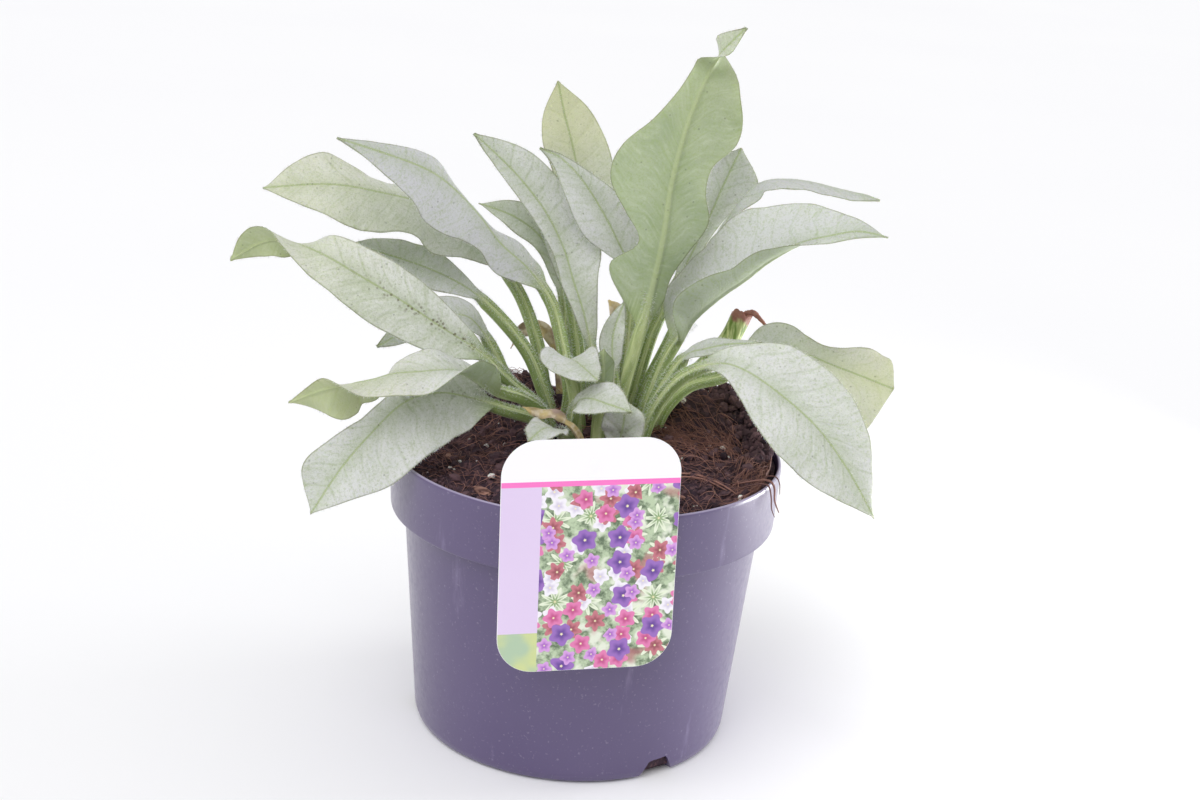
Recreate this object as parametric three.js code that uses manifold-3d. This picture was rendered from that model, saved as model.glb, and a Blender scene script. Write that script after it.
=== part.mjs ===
// A potted lungwort: a round nursery pot filled with peat and coir, a buried rootstock, a loose
// rosette of long silvery leaves, and a plain plastic tag hooked over the rim.
// Millimetres, +Z up. The origin is the middle of the pot's underside, and -Y is the front.
import * as THREE from "three";
import { mergeVertices } from "three/addons/utils/BufferGeometryUtils.js";
import Module from "manifold-3d";

const wasm = await Module();
wasm.setup();

// Pot: a thin-walled tapered pot with a deep band round its mouth
const POT_HEIGHT = 127;
const RIM_RADIUS = 85;
const BAND_HEIGHT = 27.5;
const LEDGE_RISE = 0.9;
const BAND_FOOT_RADIUS = 84;
const WALL_TOP_RADIUS = 78;
const BASE_RADIUS = 70;
const FOOT_ROUNDING = 4;
const WALL = 1.7;
const FLOOR = 1.8;
const LIP_DEPTH = 1.4;
const EDGE_EASE = 0.4;
const CORNER_EASE = 1.6;
const POT_SIDES = 46;
const NOTCH_ANGLES = [35, 155, 275];
const NOTCH_WIDTH = 18;
const NOTCH_HEIGHT = 9;
const NOTCH_REACH = 16;
const NOTCH_INSET = 3;

// Soil: fills the pot, heaped round the plant
const CLEARANCE = 0.3;
const SOIL_LEVEL = 121;
const SOIL_RINGS = 8;
const SOIL_SIDES = 36;
const LUMP_HEIGHT = 1.1;
const WIDE_LUMPS = { x: 5.3, y: 6.1 };
const NARROW_LUMPS = { x: 2.9, y: 4.1, share: 0.6 };
const MOUNDS = [
  { x: 5, y: 14, rise: 14, reach: 32 },
  { x: -36, y: 44, rise: 20, reach: 14 },
  { x: 50, y: 42, rise: 20, reach: 15 },
  { x: 74, y: -6, rise: 5, reach: 20 },
  { x: -40, y: -30, rise: 3, reach: 16 },
];

// Rootstock: a flat-headed clump under the petioles, with a few fleshy roots
const PETIOLE_FOOT = 127;
const CROWN_MIDDLE = 119;
const CROWN_THICKNESS = 24;
const CROWN_HEAD_ROOM = 40;
const CROWN_LUMPS = [
  { x: -10, y: 22, radius: 14 },
  { x: 6, y: 26, radius: 16 },
  { x: 17, y: 14, radius: 16 },
  { x: -6, y: 4, radius: 15 },
  { x: 8, y: 0, radius: 15 },
];
const CROWN_ROOTS = [
  [[-8, 6, 118], [-22, -8, 104], [-30, -20, 84]],
  [[10, 4, 116], [20, -14, 98], [22, -26, 74]],
  [[14, 20, 116], [34, 30, 102], [46, 34, 80]],
  [[-4, 24, 116], [-16, 38, 100], [-22, 48, 78]],
  [[4, 12, 112], [2, 10, 90], [6, 4, 62]],
];
const ROOT_RADII = [4, 3, 1.6];

// Tag: a thin printed plate in front of the rim, with a tongue that hooks over it into the soil.
// The centre is the middle of the plate's rear face, and the slot is placed from it
const TAG_WIDTH = 71;
const TAG_HEIGHT = 98;
const TAG_CORNER = 15;
const TAG_THICKNESS = 0.7;
const TAG_CENTRE = { x: 4.2, y: -86.7, z: 111.5 };
const TAG_YAW = 12.6;
const TAG_ROLL = -1.5;
const TAG_SLOT = { x: 1, z: 36.6, width: 4.4, height: 8.5 };
const TONGUE_WIDTH = 12;
const TONGUE_REACH = 7.6;
const TONGUE_RISE = 131;
const TONGUE_TIP = 104;
const TONGUE_CHAMFER = 0.4;

// Leaves: the midrib from root to tip, the way the upper face looks along it, the share that is
// petiole, and the half widths and the lifts of the two halves along the blade. A twist turns the
// blade about its midrib by an angle between two shares of the length
const BLADE_THICKNESS = 0.7;
const MARGIN_THICKNESS = 0.6;
const MIDRIB_DEPTH = 1.1;
const PETIOLE_DEPTH = 3.2;
const PETIOLE_HALF_WIDTH = 2.4;
const PETIOLE_FOOT_FLARE = 0.6;
const CHANNEL_ANGLE = 35;
const RIB_HALF_WIDTH = 2.2;
const MIDRIB_HALF_WIDTH = 2.4;
const MIDRIB_FADE = 0.7;
const INNER_COLUMN = 0.45;
const MIDRIB_LIFT = 0.4;
const BASE_TAPER = 0.7;
const BLADE_ONSET = 8;
const TIP_HALF_WIDTH = 0.35;
const LIFTED_WIDTH = 6;
const LONG_LEAF_STEPS = { petiole: 4, blade: 9 };
const TWISTED_LEAF_STEPS = { petiole: 4, blade: 12 };
const SMALL_LEAF_STEPS = { petiole: 3, blade: 5 };
const TIP_CROWDING = 0.25;
const RIPPLE_HEIGHT = 0.8;
const RIPPLE_WAVES = 3.5;
const TANGENT_REACH = 0.01;
const STEM_GAP = 0.35;
const HOLE_SPREAD = 1.57;
const HOLE_DEPTH = 1;
const HOLE_SHIFT = 0.3;
const HOLE_HEADROOM = 6;

const LEAVES = [
  {
    name: "leaf_left_long",
    spine: [
      [-16, 6, 127], [-21, 7, 140], [-34, 0, 153], [-48, -8, 168], [-65, -14, 180], [-81, -18, 191],
      [-98, -21, 201], [-110, -23, 208], [-121, -22, 212], [-131, -19, 213.5], [-141, -15, 210],
      [-154, -9, 201],
    ],
    face: [
      [0, -0.4, 1], [0, -0.5, 0.9], [0, -0.8, 0.6], [0, -0.9, 0.5], [0, -0.8, 0.6], [0, -0.8, 0.6],
    ],
    twist: { angle: 120, from: 0.73, to: 0.9 },
    stalk: 0.27,
    left: [8, 12, 14, 15, 14, 12, 10, 9.5, 7],
    right: [5, 9, 11, 12, 12, 11, 10, 8, 5],
    liftLeft: [5, 5, 5, 5, 5, 5, 0, 0, 0],
    liftRight: [15, 10, 5, 0, 0, -10, -50, -50, -10],
  },
  {
    name: "leaf_left_upper",
    spine: [
      [-14, 33, 127], [-21, 34, 142], [-25, 36, 160], [-31, 37, 176], [-37, 37, 187],
      [-45, 35, 197], [-58, 31, 210], [-75, 26, 222], [-94, 18, 228], [-116, 9, 232],
      [-143, 2, 230],
    ],
    face: [[0, -0.3, 1], [0, -0.6, 0.8], [0, -0.8, 0.7], [0, -0.8, 0.7]],
    stalk: 0.36,
    left: [5, 11, 18, 17, 16, 18.5, 18.5, 14, 8],
    right: [4, 7, 9, 10, 10, 10, 12, 14.5, 9],
    liftLeft: [-5],
    liftRight: [10, 10, 0, -20, -40, -10, 15, 15],
  },
  {
    name: "leaf_left_arching",
    spine: [
      [-11, 13, 127], [-9, 16, 144], [-12, 20, 159], [-16, 24, 173], [-21, 26, 185], [-31, 24, 198],
      [-43, 20, 209], [-53, 13, 223], [-63, 4, 235], [-73, -2, 243], [-87, -8, 249],
      [-110, -13, 256],
    ],
    face: [[0, -0.6, 0.8], [0.2, -0.8, 0.6], [0.2, -0.8, 0.6], [0.2, -0.9, 0.4]],
    stalk: 0.34,
    left: [7, 11, 10, 14, 18.5, 19, 14.5, 9.5, 4],
    right: [6, 8, 8, 8, 8, 8.5, 8, 5.5, 3],
    liftLeft: [-10],
    liftRight: [0, -30, -30, -80, -110, -90, -50, -30, -20, -10, 0],
  },
  {
    name: "leaf_left_shaded",
    spine: [
      [-15, 24, 127], [-20, 25, 140], [-28, 26, 158], [-40, 25, 173], [-55, 24, 186],
      [-76, 25, 195], [-109, 26, 203],
    ],
    face: [[0, -0.2, 1], [0, -0.6, 0.9], [0, -0.7, 0.7]],
    stalk: 0.50,
    left: [5, 8, 9, 9, 8, 5],
    right: [4, 7, 9, 9, 9, 6],
    liftLeft: [0],
    liftRight: [10],
  },
  {
    name: "leaf_left_hidden",
    spine: [
      [-19, 16, 127], [-27, 16, 139], [-37, 15, 150], [-45, 15, 165], [-55, 10, 178], [-67, 6, 178],
      [-79, 4, 173], [-93, 2, 164],
    ],
    face: [[0, -0.4, 1], [0, -0.6, 0.8], [0, -0.6, 0.8]],
    stalk: 0.45,
    left: [5, 9, 10, 9, 5],
    right: [5, 9, 10, 9, 5],
    liftLeft: [10],
    liftRight: [10],
  },
  {
    name: "leaf_left_twisted",
    spine: [
      [-14, 1, 127], [-19, -2, 141], [-28, -10, 150], [-37, -18, 155], [-44, -27, 160],
      [-51, -34, 166], [-58, -40, 169], [-69, -45, 169], [-79, -50, 169], [-88, -54, 167],
      [-97, -56, 165], [-106, -55, 162], [-121, -51, 154],
    ],
    face: [[0, -0.3, 1], [0, -0.5, 0.9], [0, -0.65, 0.75]],
    twist: { angle: 125, from: 0.77, to: 0.9 },
    stalk: 0.31,
    left: [9, 11, 13, 14, 14, 12, 9, 6, 3],
    right: [6, 8, 12, 12, 10, 12, 17, 14, 7],
    liftLeft: [120, 120, 90, 30, 10, 10, 10, 0, 0],
    liftRight: [10, 10, 10, 5, 0, -40, -130, -110, -40, -10, 0],
  },
  {
    name: "leaf_left_over_rim",
    spine: [
      [-15, -5, 127], [-21, -10, 140], [-36, -19, 147.5], [-50, -25, 153], [-63, -31, 156],
      [-76, -38, 153], [-88, -44, 141], [-99, -48, 127], [-111, -53, 107],
    ],
    face: [[0, -0.3, 1], [-0.1, -0.6, 0.8], [-0.2, -0.9, 0.5], [-0.3, -0.9, 0.3]],
    stalk: 0.27,
    left: [17, 23, 24, 23, 20, 11],
    right: [8, 8, 6, 7, 11, 13],
    liftLeft: [-5],
    liftRight: [35, 25],
  },
  {
    name: "leaf_back_left",
    spine: [
      [-6, 34, 127], [-10, 37, 142], [-13, 40, 162], [-15, 43, 180], [-20, 46, 194], [-27, 46, 207],
      [-39, 44, 216], [-55, 40, 222],
    ],
    face: [[0, -0.8, 0.6]],
    stalk: 0.46,
    left: [3, 4, 5.5, 6.5, 4.5],
    right: [5, 7, 8, 8, 5],
    liftLeft: [10],
    liftRight: [10],
  },
  {
    name: "leaf_back_narrow",
    spine: [
      [-4, 24, 127], [-5, 27, 142], [-7, 31, 161], [-12, 37, 182], [-17, 41, 203], [-23, 42, 219],
      [-33, 38, 233],
    ],
    face: [[0, -1, 0.5]],
    stalk: 0.50,
    left: [4, 6, 7, 6, 4],
    right: [4, 6, 7, 6, 4],
    liftLeft: [10],
    liftRight: [10],
  },
  {
    name: "leaf_middle_left",
    spine: [
      [3, 17, 127], [2, 19, 144], [-1, 22, 164], [-6, 25, 181], [-11, 28, 193], [-16, 31, 206],
      [-24, 33, 220], [-33, 34, 231], [-43, 34, 241], [-58, 32, 254],
    ],
    face: [[0, -1, 0.3], [0.1, -1, 0.4], [0.2, -0.9, 0.5]],
    stalk: 0.23,
    left: [3, 4.5, 5.5, 5.5, 6, 6.5, 6.5, 6, 3.5],
    right: [4, 7, 11, 15.5, 15.5, 13.5, 12.5, 11, 6.5],
    liftLeft: [15],
    liftRight: [15],
  },
  {
    name: "leaf_middle_right",
    spine: [
      [12, 18, 127], [14, 20, 146], [15, 26, 173], [14, 30, 197], [7, 30, 212], [-2, 29, 227],
      [-11, 28, 239], [-20, 27, 247], [-29, 25, 251],
    ],
    face: [[0, -1, 0.2], [0, -1, 0.4], [0.2, -1, 0.4]],
    stalk: 0.50,
    left: [6, 12, 13, 11, 6],
    right: [9, 10, 9, 5, 2],
    liftLeft: [15],
    liftRight: [15],
  },
  {
    name: "leaf_back_tall",
    spine: [
      [1, 31, 127], [-1, 36, 142], [-7, 42, 165], [-6, 48, 207], [-14, 52, 242], [-20, 54, 261],
      [-24, 54, 276],
    ],
    face: [[0, -1, 0.1]],
    stalk: 0.43,
    left: [3, 8, 10, 11, 12.5, 9],
    right: [4, 11, 15, 16, 14, 10],
    liftLeft: [10],
    liftRight: [10],
  },
  {
    name: "leaf_centre_tall",
    spine: [
      [11, 7, 127], [13, 6, 146], [17, 4, 168], [22, 2, 193], [26, 2, 220], [28, 4, 245],
      [33, 8, 270], [39, 8, 288], [44, 6, 299], [53, 2, 310],
    ],
    face: [[0, 1, 0.2], [0, 1, 0.2], [0.1, 1, 0.2], [0.2, 1, 0.1], [0.2, 1, 0.1]],
    twist: { angle: 150, from: 0.86, to: 0.95 },
    stalk: 0.28,
    left: [6, 7, 12, 18, 15, 15, 22, 21, 14, 7],
    right: [13, 20, 10, 18, 27, 25, 15, 9, 7, 5],
    liftLeft: [15],
    liftRight: [15],
  },
  {
    name: "leaf_back_right",
    spine: [
      [13, 32, 127], [19, 34, 142], [26, 39, 170], [38, 49, 197], [47, 54, 219], [53, 56, 236],
      [59, 55.5, 252],
    ],
    face: [[0, -1, 0.3]],
    stalk: 0.49,
    left: [4, 6, 8, 10, 11],
    right: [4, 4, 6, 10, 14],
    liftLeft: [0],
    liftRight: [0],
  },
  {
    name: "leaf_right_ribbon",
    spine: [
      [20, 27, 127], [24, 29, 144], [34, 35, 168], [45, 42, 196], [54, 45, 219], [61, 45, 232],
      [70, 45, 240], [85, 42, 242], [102, 39, 240], [120, 36, 237],
    ],
    face: [[0.1, -0.8, 0.6], [0.1, -0.3, 1], [0.1, -0.1, 1], [0.1, -0.2, 1]],
    stalk: 0.44,
    left: [4, 8, 10, 9, 6],
    right: [5, 10, 17, 17, 10],
    liftLeft: [-50],
    liftRight: [0],
  },
  {
    name: "leaf_right_arching",
    spine: [
      [20, 9, 127], [25, 8, 147], [30, 7, 164], [36, 6, 177], [43, 5, 187], [52, 3, 197],
      [62, 1, 206], [71, -1, 215], [83, -4, 224], [95, -8, 229], [106, -10, 232], [118, -12, 231],
    ],
    face: [[-0.1, -0.9, 0.3], [-0.5, -0.5, 0.7], [-0.5, -0.5, 0.7], [-0.3, -0.5, 0.8]],
    stalk: 0.31,
    left: [18, 22, 23, 25, 27, 23, 17, 11, 5],
    right: [14, 19, 17, 13, 12, 9, 5, 4, 2.5],
    liftLeft: [35, 35, 30, 25, 20],
    liftRight: [60, 110, 110, 110, 110, 70, 10, -10, -10],
  },
  {
    name: "leaf_right_over_rim",
    spine: [
      [22, -4, 127], [27, -8, 147], [37, -18, 166], [51, -27, 176], [63, -34, 176], [79, -41, 168],
      [94, -47, 157], [107, -52, 142], [119, -56, 124],
    ],
    face: [[0, -0.4, 1], [0.2, -0.7, 0.8], [0.3, -0.8, 0.6], [0.5, -0.8, 0.4]],
    stalk: 0.34,
    left: [9, 19, 22, 21, 16, 9],
    right: [6, 13, 19, 22, 19, 11],
    liftLeft: [10],
    liftRight: [0],
  },
  {
    name: "leaf_right_rear",
    spine: [
      [27.5, 12.5, 127], [33, 14, 142], [43, 15, 153], [58, 17, 158], [71, 18, 167], [81, 17, 171],
      [92, 15, 171], [103, 12, 168], [115, 9, 165], [131, 6, 160.5],
    ],
    face: [[0, -0.4, 1], [0.1, -0.8, 0.8], [0.2, -0.9, 0.6]],
    stalk: 0.44,
    left: [6, 9, 12, 13, 12, 9, 7, 7, 8, 10, 12, 13, 13, 12],
    right: [8, 12, 15, 18, 20, 21, 22, 23, 23.5, 24, 24, 24, 24, 22],
    liftLeft: [10, 20, 50, 70, 70, 60, 30, 0, 0],
    liftRight: [-10],
  },
  {
    name: "leaf_right_short",
    spine: [
      [23, 3, 127], [28, 0, 150], [34, -4, 164], [40, -9, 174], [47, -13, 178], [57, -17, 182],
      [70, -20, 184],
    ],
    face: [[0, -0.6, 0.8]],
    stalk: 0.55,
    left: [4, 4.5, 4, 3, 2],
    right: [4, 4, 3, 2, 1.5],
    liftLeft: [0],
    liftRight: [0],
  },
  {
    name: "leaf_small_forked", small: true,
    spine: [
      [-3, 3, 127], [-5, 5, 140], [-8, 7, 153], [-11, 5, 162], [-9, -3, 166], [-5, -13, 167],
      [3, -24, 164],
    ],
    face: [[0, 1, 0.2], [0, 1, 0.2], [0, 0.9, 0.5], [0, 0.4, 1], [0, 0, 1], [0, -0.2, 1]],
    stalk: 0.52,
    left: [8, 10.5, 9, 6],
    right: [10, 16, 15, 9],
    liftLeft: [35, 45, 20, 0],
    liftRight: [40, 25, -10, -20],
  },
  {
    name: "leaf_small_pointed", small: true,
    spine: [
      [-3, -5, 127], [-7, -9, 140], [-5, -15, 151], [0, -21, 155], [8, -27, 155], [18, -32, 154],
    ],
    face: [[-1, -0.2, 0.2], [-0.6, -0.6, 0.5], [0, -0.7, 0.7], [0, -0.7, 0.7], [0, -0.7, 0.7]],
    stalk: 0.37,
    left: [4, 6, 10, 7],
    right: [6, 9, 7, 3],
    liftLeft: [20],
    liftRight: [10],
  },
  {
    name: "leaf_small_spotted", small: true,
    spine: [[13, -14, 127], [14, -18, 136], [15, -22, 146], [15, -20, 155]],
    face: [[0, -0.8, 0.7]],
    stalk: 0.20,
    left: [6, 8.5, 9, 7.5],
    right: [6, 8.5, 9, 7.5],
    liftLeft: [10],
    liftRight: [10],
  },
  {
    name: "leaf_small_upright", small: true,
    spine: [[8, 0, 127], [10, -2, 149], [9, 2, 161], [8, 6, 176], [12, 8, 191]],
    face: [[0, -1, 0.4]],
    stalk: 0.50,
    left: [4, 6, 5, 3],
    right: [4, 5, 5, 3],
    liftLeft: [30],
    liftRight: [30],
  },
  {
    name: "leaf_small_rolled", small: true,
    spine: [[4.5, -7, 127], [4.5, -7, 138], [4.5, -6, 150], [4.5, -6, 160], [4.5, -7, 173]],
    face: [[0, 0.9, 0.4], [0, 1, 0.2], [0, 1, 0.1]],
    stalk: 0.47,
    left: [4.2, 5, 5, 4.5],
    right: [4.2, 5, 5, 4.5],
    liftLeft: [20],
    liftRight: [20],
  },
  {
    name: "leaf_small_front", small: true,
    spine: [[-8, -9, 127], [-9, -12, 135], [-12, -21, 140], [-18, -29, 143], [-24, -38, 140]],
    face: [[0.3, 1, 0.3], [0, 0.4, 1], [0, -0.2, 1], [0, -0.4, 0.9]],
    stalk: 0.40,
    left: [6, 9, 8.5, 5],
    right: [6, 8, 7, 5],
    liftLeft: [10],
    liftRight: [10],
  },
];

// Withered scraps: the same construction as a leaf, on a thread of a petiole
const DEAD_LEAVES = [
  {
    name: "dead_leaf_front", small: true, petiole: 1.2, ripple: 2,
    spine: [
      [-2, -13, 127], [-3, -17, 136], [-7, -19, 142], [-14, -21, 147], [-21, -21, 147],
      [-28, -20, 149],
    ],
    face: [[0, -0.6, 0.8], [0, -0.8, 0.6], [0, -1, 0.4]],
    stalk: 0.42,
    left: [1.8, 2.2, 1.8],
    right: [1.8, 2.2, 1.8],
    liftLeft: [30],
    liftRight: [-30],
  },
  {
    name: "dead_leaf_back", small: true, petiole: 1.2, ripple: 2,
    spine: [
      [-13, 39, 127], [-15, 44, 142], [-18, 46, 156], [-24, 47, 165], [-33, 47, 163],
      [-38, 45, 155],
    ],
    face: [[0, -0.9, 0.4], [0, -0.8, 0.6]],
    stalk: 0.40,
    left: [1.5, 3.5, 4, 2.5],
    right: [1.5, 3, 3.5, 2],
    liftLeft: [50],
    liftRight: [40],
  },
  {
    name: "dead_leaf_tip", small: true, petiole: 1.2, ripple: 1,
    spine: [[5, 10, 127], [6, 11, 146], [8, 13, 164], [10, 14, 176], [9, 14, 184], [5, 14, 189]],
    face: [[0, -1, 0.3]],
    stalk: 0.70,
    left: [1.5, 3, 3],
    right: [1.5, 3, 3],
    liftLeft: [15],
    liftRight: [15],
  },
];

// Cut stalk: its middle line and its radii, and the torn shred that hangs off its end
const STALK_LINE = [
  [26, 20, 130], [34, 21, 145], [48, 24, 158], [55, 26, 166], [60, 27, 173], [64, 28, 183],
];
const STALK_RADII = [3, 3.3, 3.7, 4, 4.3, 4.5];
const SHRED_LINE = [[63, 27.5, 181], [68, 27.5, 184.5], [72, 28, 182], [76, 28, 178]];
const SHRED_RADII = [2, 1.8, 1.2, 0.5];
const STEM_SIDES = 8;
const HOLE_SIDES = 6;
const STEM_STEPS = 6;

const COLOURS = {
  pot: 0x5f5570,
  soil: 0x3b2620,
  crown: 0x6b5a3c,
  tag: 0xf2eef4,
  leaf: 0xbcc8b6,
  stalk: 0x8fa25c,
  dry: 0x9a7d5a,
};

const AXIAL_TURN = Math.PI / 2;
const UP = new THREE.Vector3(0, 0, 1);
const radians = THREE.MathUtils.degToRad;

function signedVolume(geometry) {
  const position = geometry.attributes.position;
  const index = geometry.index.array;
  const [a, b, c] = [new THREE.Vector3(), new THREE.Vector3(), new THREE.Vector3()];
  let volume = 0;
  for (let i = 0; i < index.length; i += 3) {
    a.fromBufferAttribute(position, index[i]);
    b.fromBufferAttribute(position, index[i + 1]);
    c.fromBufferAttribute(position, index[i + 2]);
    volume += a.dot(b.cross(c)) / 6;
  }
  return volume;
}

// One closed body with shared corners merged, thin triangles dropped and its faces turned outwards
function closedBody(geometry) {
  const bare = geometry.clone();
  for (const name of ["normal", "uv"]) bare.deleteAttribute(name);
  const merged = mergeVertices(bare, 1e-4);
  const corners = merged.index.array;
  const index = [];
  for (let i = 0; i < corners.length; i += 3) {
    const [a, b, c] = [corners[i], corners[i + 1], corners[i + 2]];
    if (a !== b && b !== c && c !== a) index.push(a, b, c);
  }
  merged.setIndex(index);
  if (signedVolume(merged) < 0) merged.setIndex(index.reverse());
  return merged;
}

function toSolid(geometry) {
  const body = closedBody(geometry);
  return new wasm.Manifold(new wasm.Mesh({
    numProp: 3,
    vertProperties: new Float32Array(body.attributes.position.array),
    triVerts: new Uint32Array(body.index.array),
  }));
}

function toGeometry(solid) {
  const mesh = solid.getMesh();
  return indexedGeometry(mesh.vertProperties, mesh.triVerts);
}

function indexedGeometry(positions, index) {
  const geometry = new THREE.BufferGeometry();
  geometry.setAttribute("position", new THREE.Float32BufferAttribute(positions, 3));
  geometry.setIndex(Array.from(index));
  return geometry;
}

function largestBody(solid) {
  return solid.decompose().reduce((best, body) => (body.volume() > best.volume() ? body : best));
}

// Pot

// The pot's inner wall from the mouth down to the middle of the floor, drawn in by a gap
function innerProfile(gap) {
  const ledge = POT_HEIGHT - BAND_HEIGHT + LEDGE_RISE;
  return [
    [RIM_RADIUS - WALL - gap, POT_HEIGHT - LIP_DEPTH],
    [BAND_FOOT_RADIUS - WALL - gap, ledge + 2 * EDGE_EASE + gap],
    [WALL_TOP_RADIUS - WALL + EDGE_EASE - gap, ledge + gap],
    [WALL_TOP_RADIUS - WALL - gap, ledge - CORNER_EASE],
    [BASE_RADIUS - WALL - gap, FOOT_ROUNDING + EDGE_EASE],
    [BASE_RADIUS - WALL - CORNER_EASE - gap, FLOOR + gap],
    [0, FLOOR + gap],
  ];
}

function potGeometry() {
  const bandFoot = POT_HEIGHT - BAND_HEIGHT;
  const outside = [
    [0, 0], [BASE_RADIUS - FOOT_ROUNDING, 0],
    [BASE_RADIUS - FOOT_ROUNDING / 4, 0.3 * FOOT_ROUNDING], [BASE_RADIUS, FOOT_ROUNDING],
    [WALL_TOP_RADIUS, bandFoot - EDGE_EASE], [BAND_FOOT_RADIUS - EDGE_EASE, bandFoot - EDGE_EASE / 2],
    [BAND_FOOT_RADIUS, bandFoot + EDGE_EASE], [RIM_RADIUS, POT_HEIGHT - LIP_DEPTH],
    [RIM_RADIUS - EDGE_EASE, POT_HEIGHT - EDGE_EASE], [RIM_RADIUS - WALL / 2, POT_HEIGHT],
    [RIM_RADIUS - WALL + EDGE_EASE, POT_HEIGHT - EDGE_EASE],
  ];
  const profile = [...outside, ...innerProfile(0)];
  const points = profile.map(([radius, height]) => new THREE.Vector2(radius, height));
  const shell = new THREE.LatheGeometry(points, POT_SIDES);
  shell.rotateX(AXIAL_TURN);
  const cutters = NOTCH_ANGLES.map(notchCutter);
  return toGeometry(cutters.reduce((pot, cutter) => pot.subtract(cutter), toSolid(shell)));
}

// A drain notch: broken through the foot of the wall and the edge of the floor
function notchCutter(angle) {
  const half = NOTCH_WIDTH / 2;
  const outline = new THREE.Shape([
    [-half, -1], [-half, 0], [-half + 2, NOTCH_HEIGHT / 2], [-half + 4, NOTCH_HEIGHT - 1],
    [0, NOTCH_HEIGHT - 0.4], [half * 0.4, NOTCH_HEIGHT], [half * 0.7, NOTCH_HEIGHT / 2],
    [half, 0], [half, -1],
  ].map(([x, y]) => new THREE.Vector2(x, y)));
  const cutter = new THREE.ExtrudeGeometry(outline, { depth: NOTCH_REACH, bevelEnabled: false });
  cutter.rotateX(AXIAL_TURN);
  cutter.translate(0, NOTCH_REACH / 2 + NOTCH_INSET - BASE_RADIUS, 0);
  cutter.rotateZ(radians(angle));
  return toSolid(cutter);
}

// Soil

function soilHeight(x, y) {
  let height = SOIL_LEVEL;
  for (const mound of MOUNDS) {
    const distance = Math.hypot(x - mound.x, y - mound.y) / mound.reach;
    height += mound.rise * Math.exp(-distance * distance / 2);
  }
  const wide = Math.sin(x / WIDE_LUMPS.x + 1) * Math.cos(y / WIDE_LUMPS.y + 2);
  const narrow = NARROW_LUMPS.share * Math.sin(x / NARROW_LUMPS.x + y / NARROW_LUMPS.y);
  return height + LUMP_HEIGHT * (wide + narrow);
}

function soilRing(radius, heightAt) {
  return Array.from({ length: SOIL_SIDES }, (_, step) => {
    const angle = 2 * Math.PI * step / SOIL_SIDES;
    const [x, y] = [radius * Math.cos(angle), radius * Math.sin(angle)];
    return [x, y, heightAt(x, y)];
  });
}

// A closed heap: rings over the top, then down the pot's inner wall to the floor
function soilHeap() {
  const side = innerProfile(CLEARANCE).slice(1, -1);
  const topRadius = side[0][0] + 2 * CLEARANCE;
  const rings = [];
  for (let ring = 1; ring <= SOIL_RINGS; ring += 1) {
    rings.push(soilRing(topRadius * ring / SOIL_RINGS, soilHeight));
  }
  for (const [radius, height] of side) rings.push(soilRing(radius, () => height));
  return ringedSolid(rings, [0, 0, soilHeight(0, 0)], [0, 0, FLOOR + CLEARANCE]);
}

// A closed solid from rings of equal counts, with a middle point closing either end
function ringedSolid(rings, first, last) {
  const sides = rings[0].length;
  const at = (ring, side) => 1 + ring * sides + (side % sides);
  const positions = [first, ...rings.flat(), last].flat();
  const end = 1 + rings.length * sides;
  const index = [];
  for (let side = 0; side < sides; side += 1) {
    index.push(0, at(0, side), at(0, side + 1));
    index.push(at(rings.length - 1, side), end, at(rings.length - 1, side + 1));
    for (let ring = 0; ring + 1 < rings.length; ring += 1) {
      index.push(at(ring, side), at(ring + 1, side), at(ring + 1, side + 1));
      index.push(at(ring, side), at(ring + 1, side + 1), at(ring, side + 1));
    }
  }
  return toSolid(indexedGeometry(positions, index));
}

function soilGeometry() {
  const cutters = [
    crownSolid(CLEARANCE), ...[...LEAVES, ...DEAD_LEAVES].map(petioleHole),
    stemSolid(STALK_LINE, STALK_RADII, STEM_GAP), tongueSolid(CLEARANCE),
  ];
  const pierced = cutters.reduce((soil, cutter) => soil.subtract(cutter), soilHeap());
  return toGeometry(largestBody(pierced));
}

// Rootstock: fused lumps with a flat head, which the petioles stand on

function crownSolid(gap) {
  const lumps = CROWN_LUMPS.map(({ x, y, radius }) => {
    const lump = new THREE.SphereGeometry(1, 10, 6);
    lump.rotateX(AXIAL_TURN);
    lump.scale(radius + gap, radius + gap, CROWN_THICKNESS / 2 + gap);
    lump.translate(x, y, CROWN_MIDDLE);
    return toSolid(lump);
  });
  const roots = CROWN_ROOTS.map((line) => stemSolid(line, ROOT_RADII, gap));
  const head = new THREE.BoxGeometry(2 * POT_HEIGHT, 2 * POT_HEIGHT, CROWN_HEAD_ROOM);
  head.translate(0, 0, PETIOLE_FOOT - CLEARANCE + gap + CROWN_HEAD_ROOM / 2);
  return [...lumps, ...roots].reduce((clump, lump) => clump.add(lump)).subtract(toSolid(head));
}

// Round stem along a line of points, with the radius given at each of them
function stemSolid(line, radii, gap = 0) {
  const curve = smoothCurve(line);
  const rings = [];
  for (let step = 0; step <= STEM_STEPS; step += 1) {
    const share = step / STEM_STEPS;
    const { place, ahead } = alongCurve(curve, share);
    const across = new THREE.Vector3(0, 1, 0).cross(ahead).normalize();
    const up = new THREE.Vector3().crossVectors(ahead, across);
    const radius = readSmoothly(radii, share) + gap;
    rings.push(Array.from({ length: STEM_SIDES }, (_, side) => {
      const angle = 2 * Math.PI * side / STEM_SIDES;
      const point = place.clone().addScaledVector(across, radius * Math.cos(angle));
      return point.addScaledVector(up, radius * Math.sin(angle)).toArray();
    }));
  }
  return ringedSolid(rings, line[0], line[line.length - 1]);
}

// Tag

// Turns what is drawn about the tag's upright middle line and stands it in front of the rim
function standTag(geometry) {
  geometry.rotateZ(radians(TAG_YAW));
  geometry.translate(TAG_CENTRE.x, TAG_CENTRE.y, 0);
  return toSolid(geometry);
}

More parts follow.
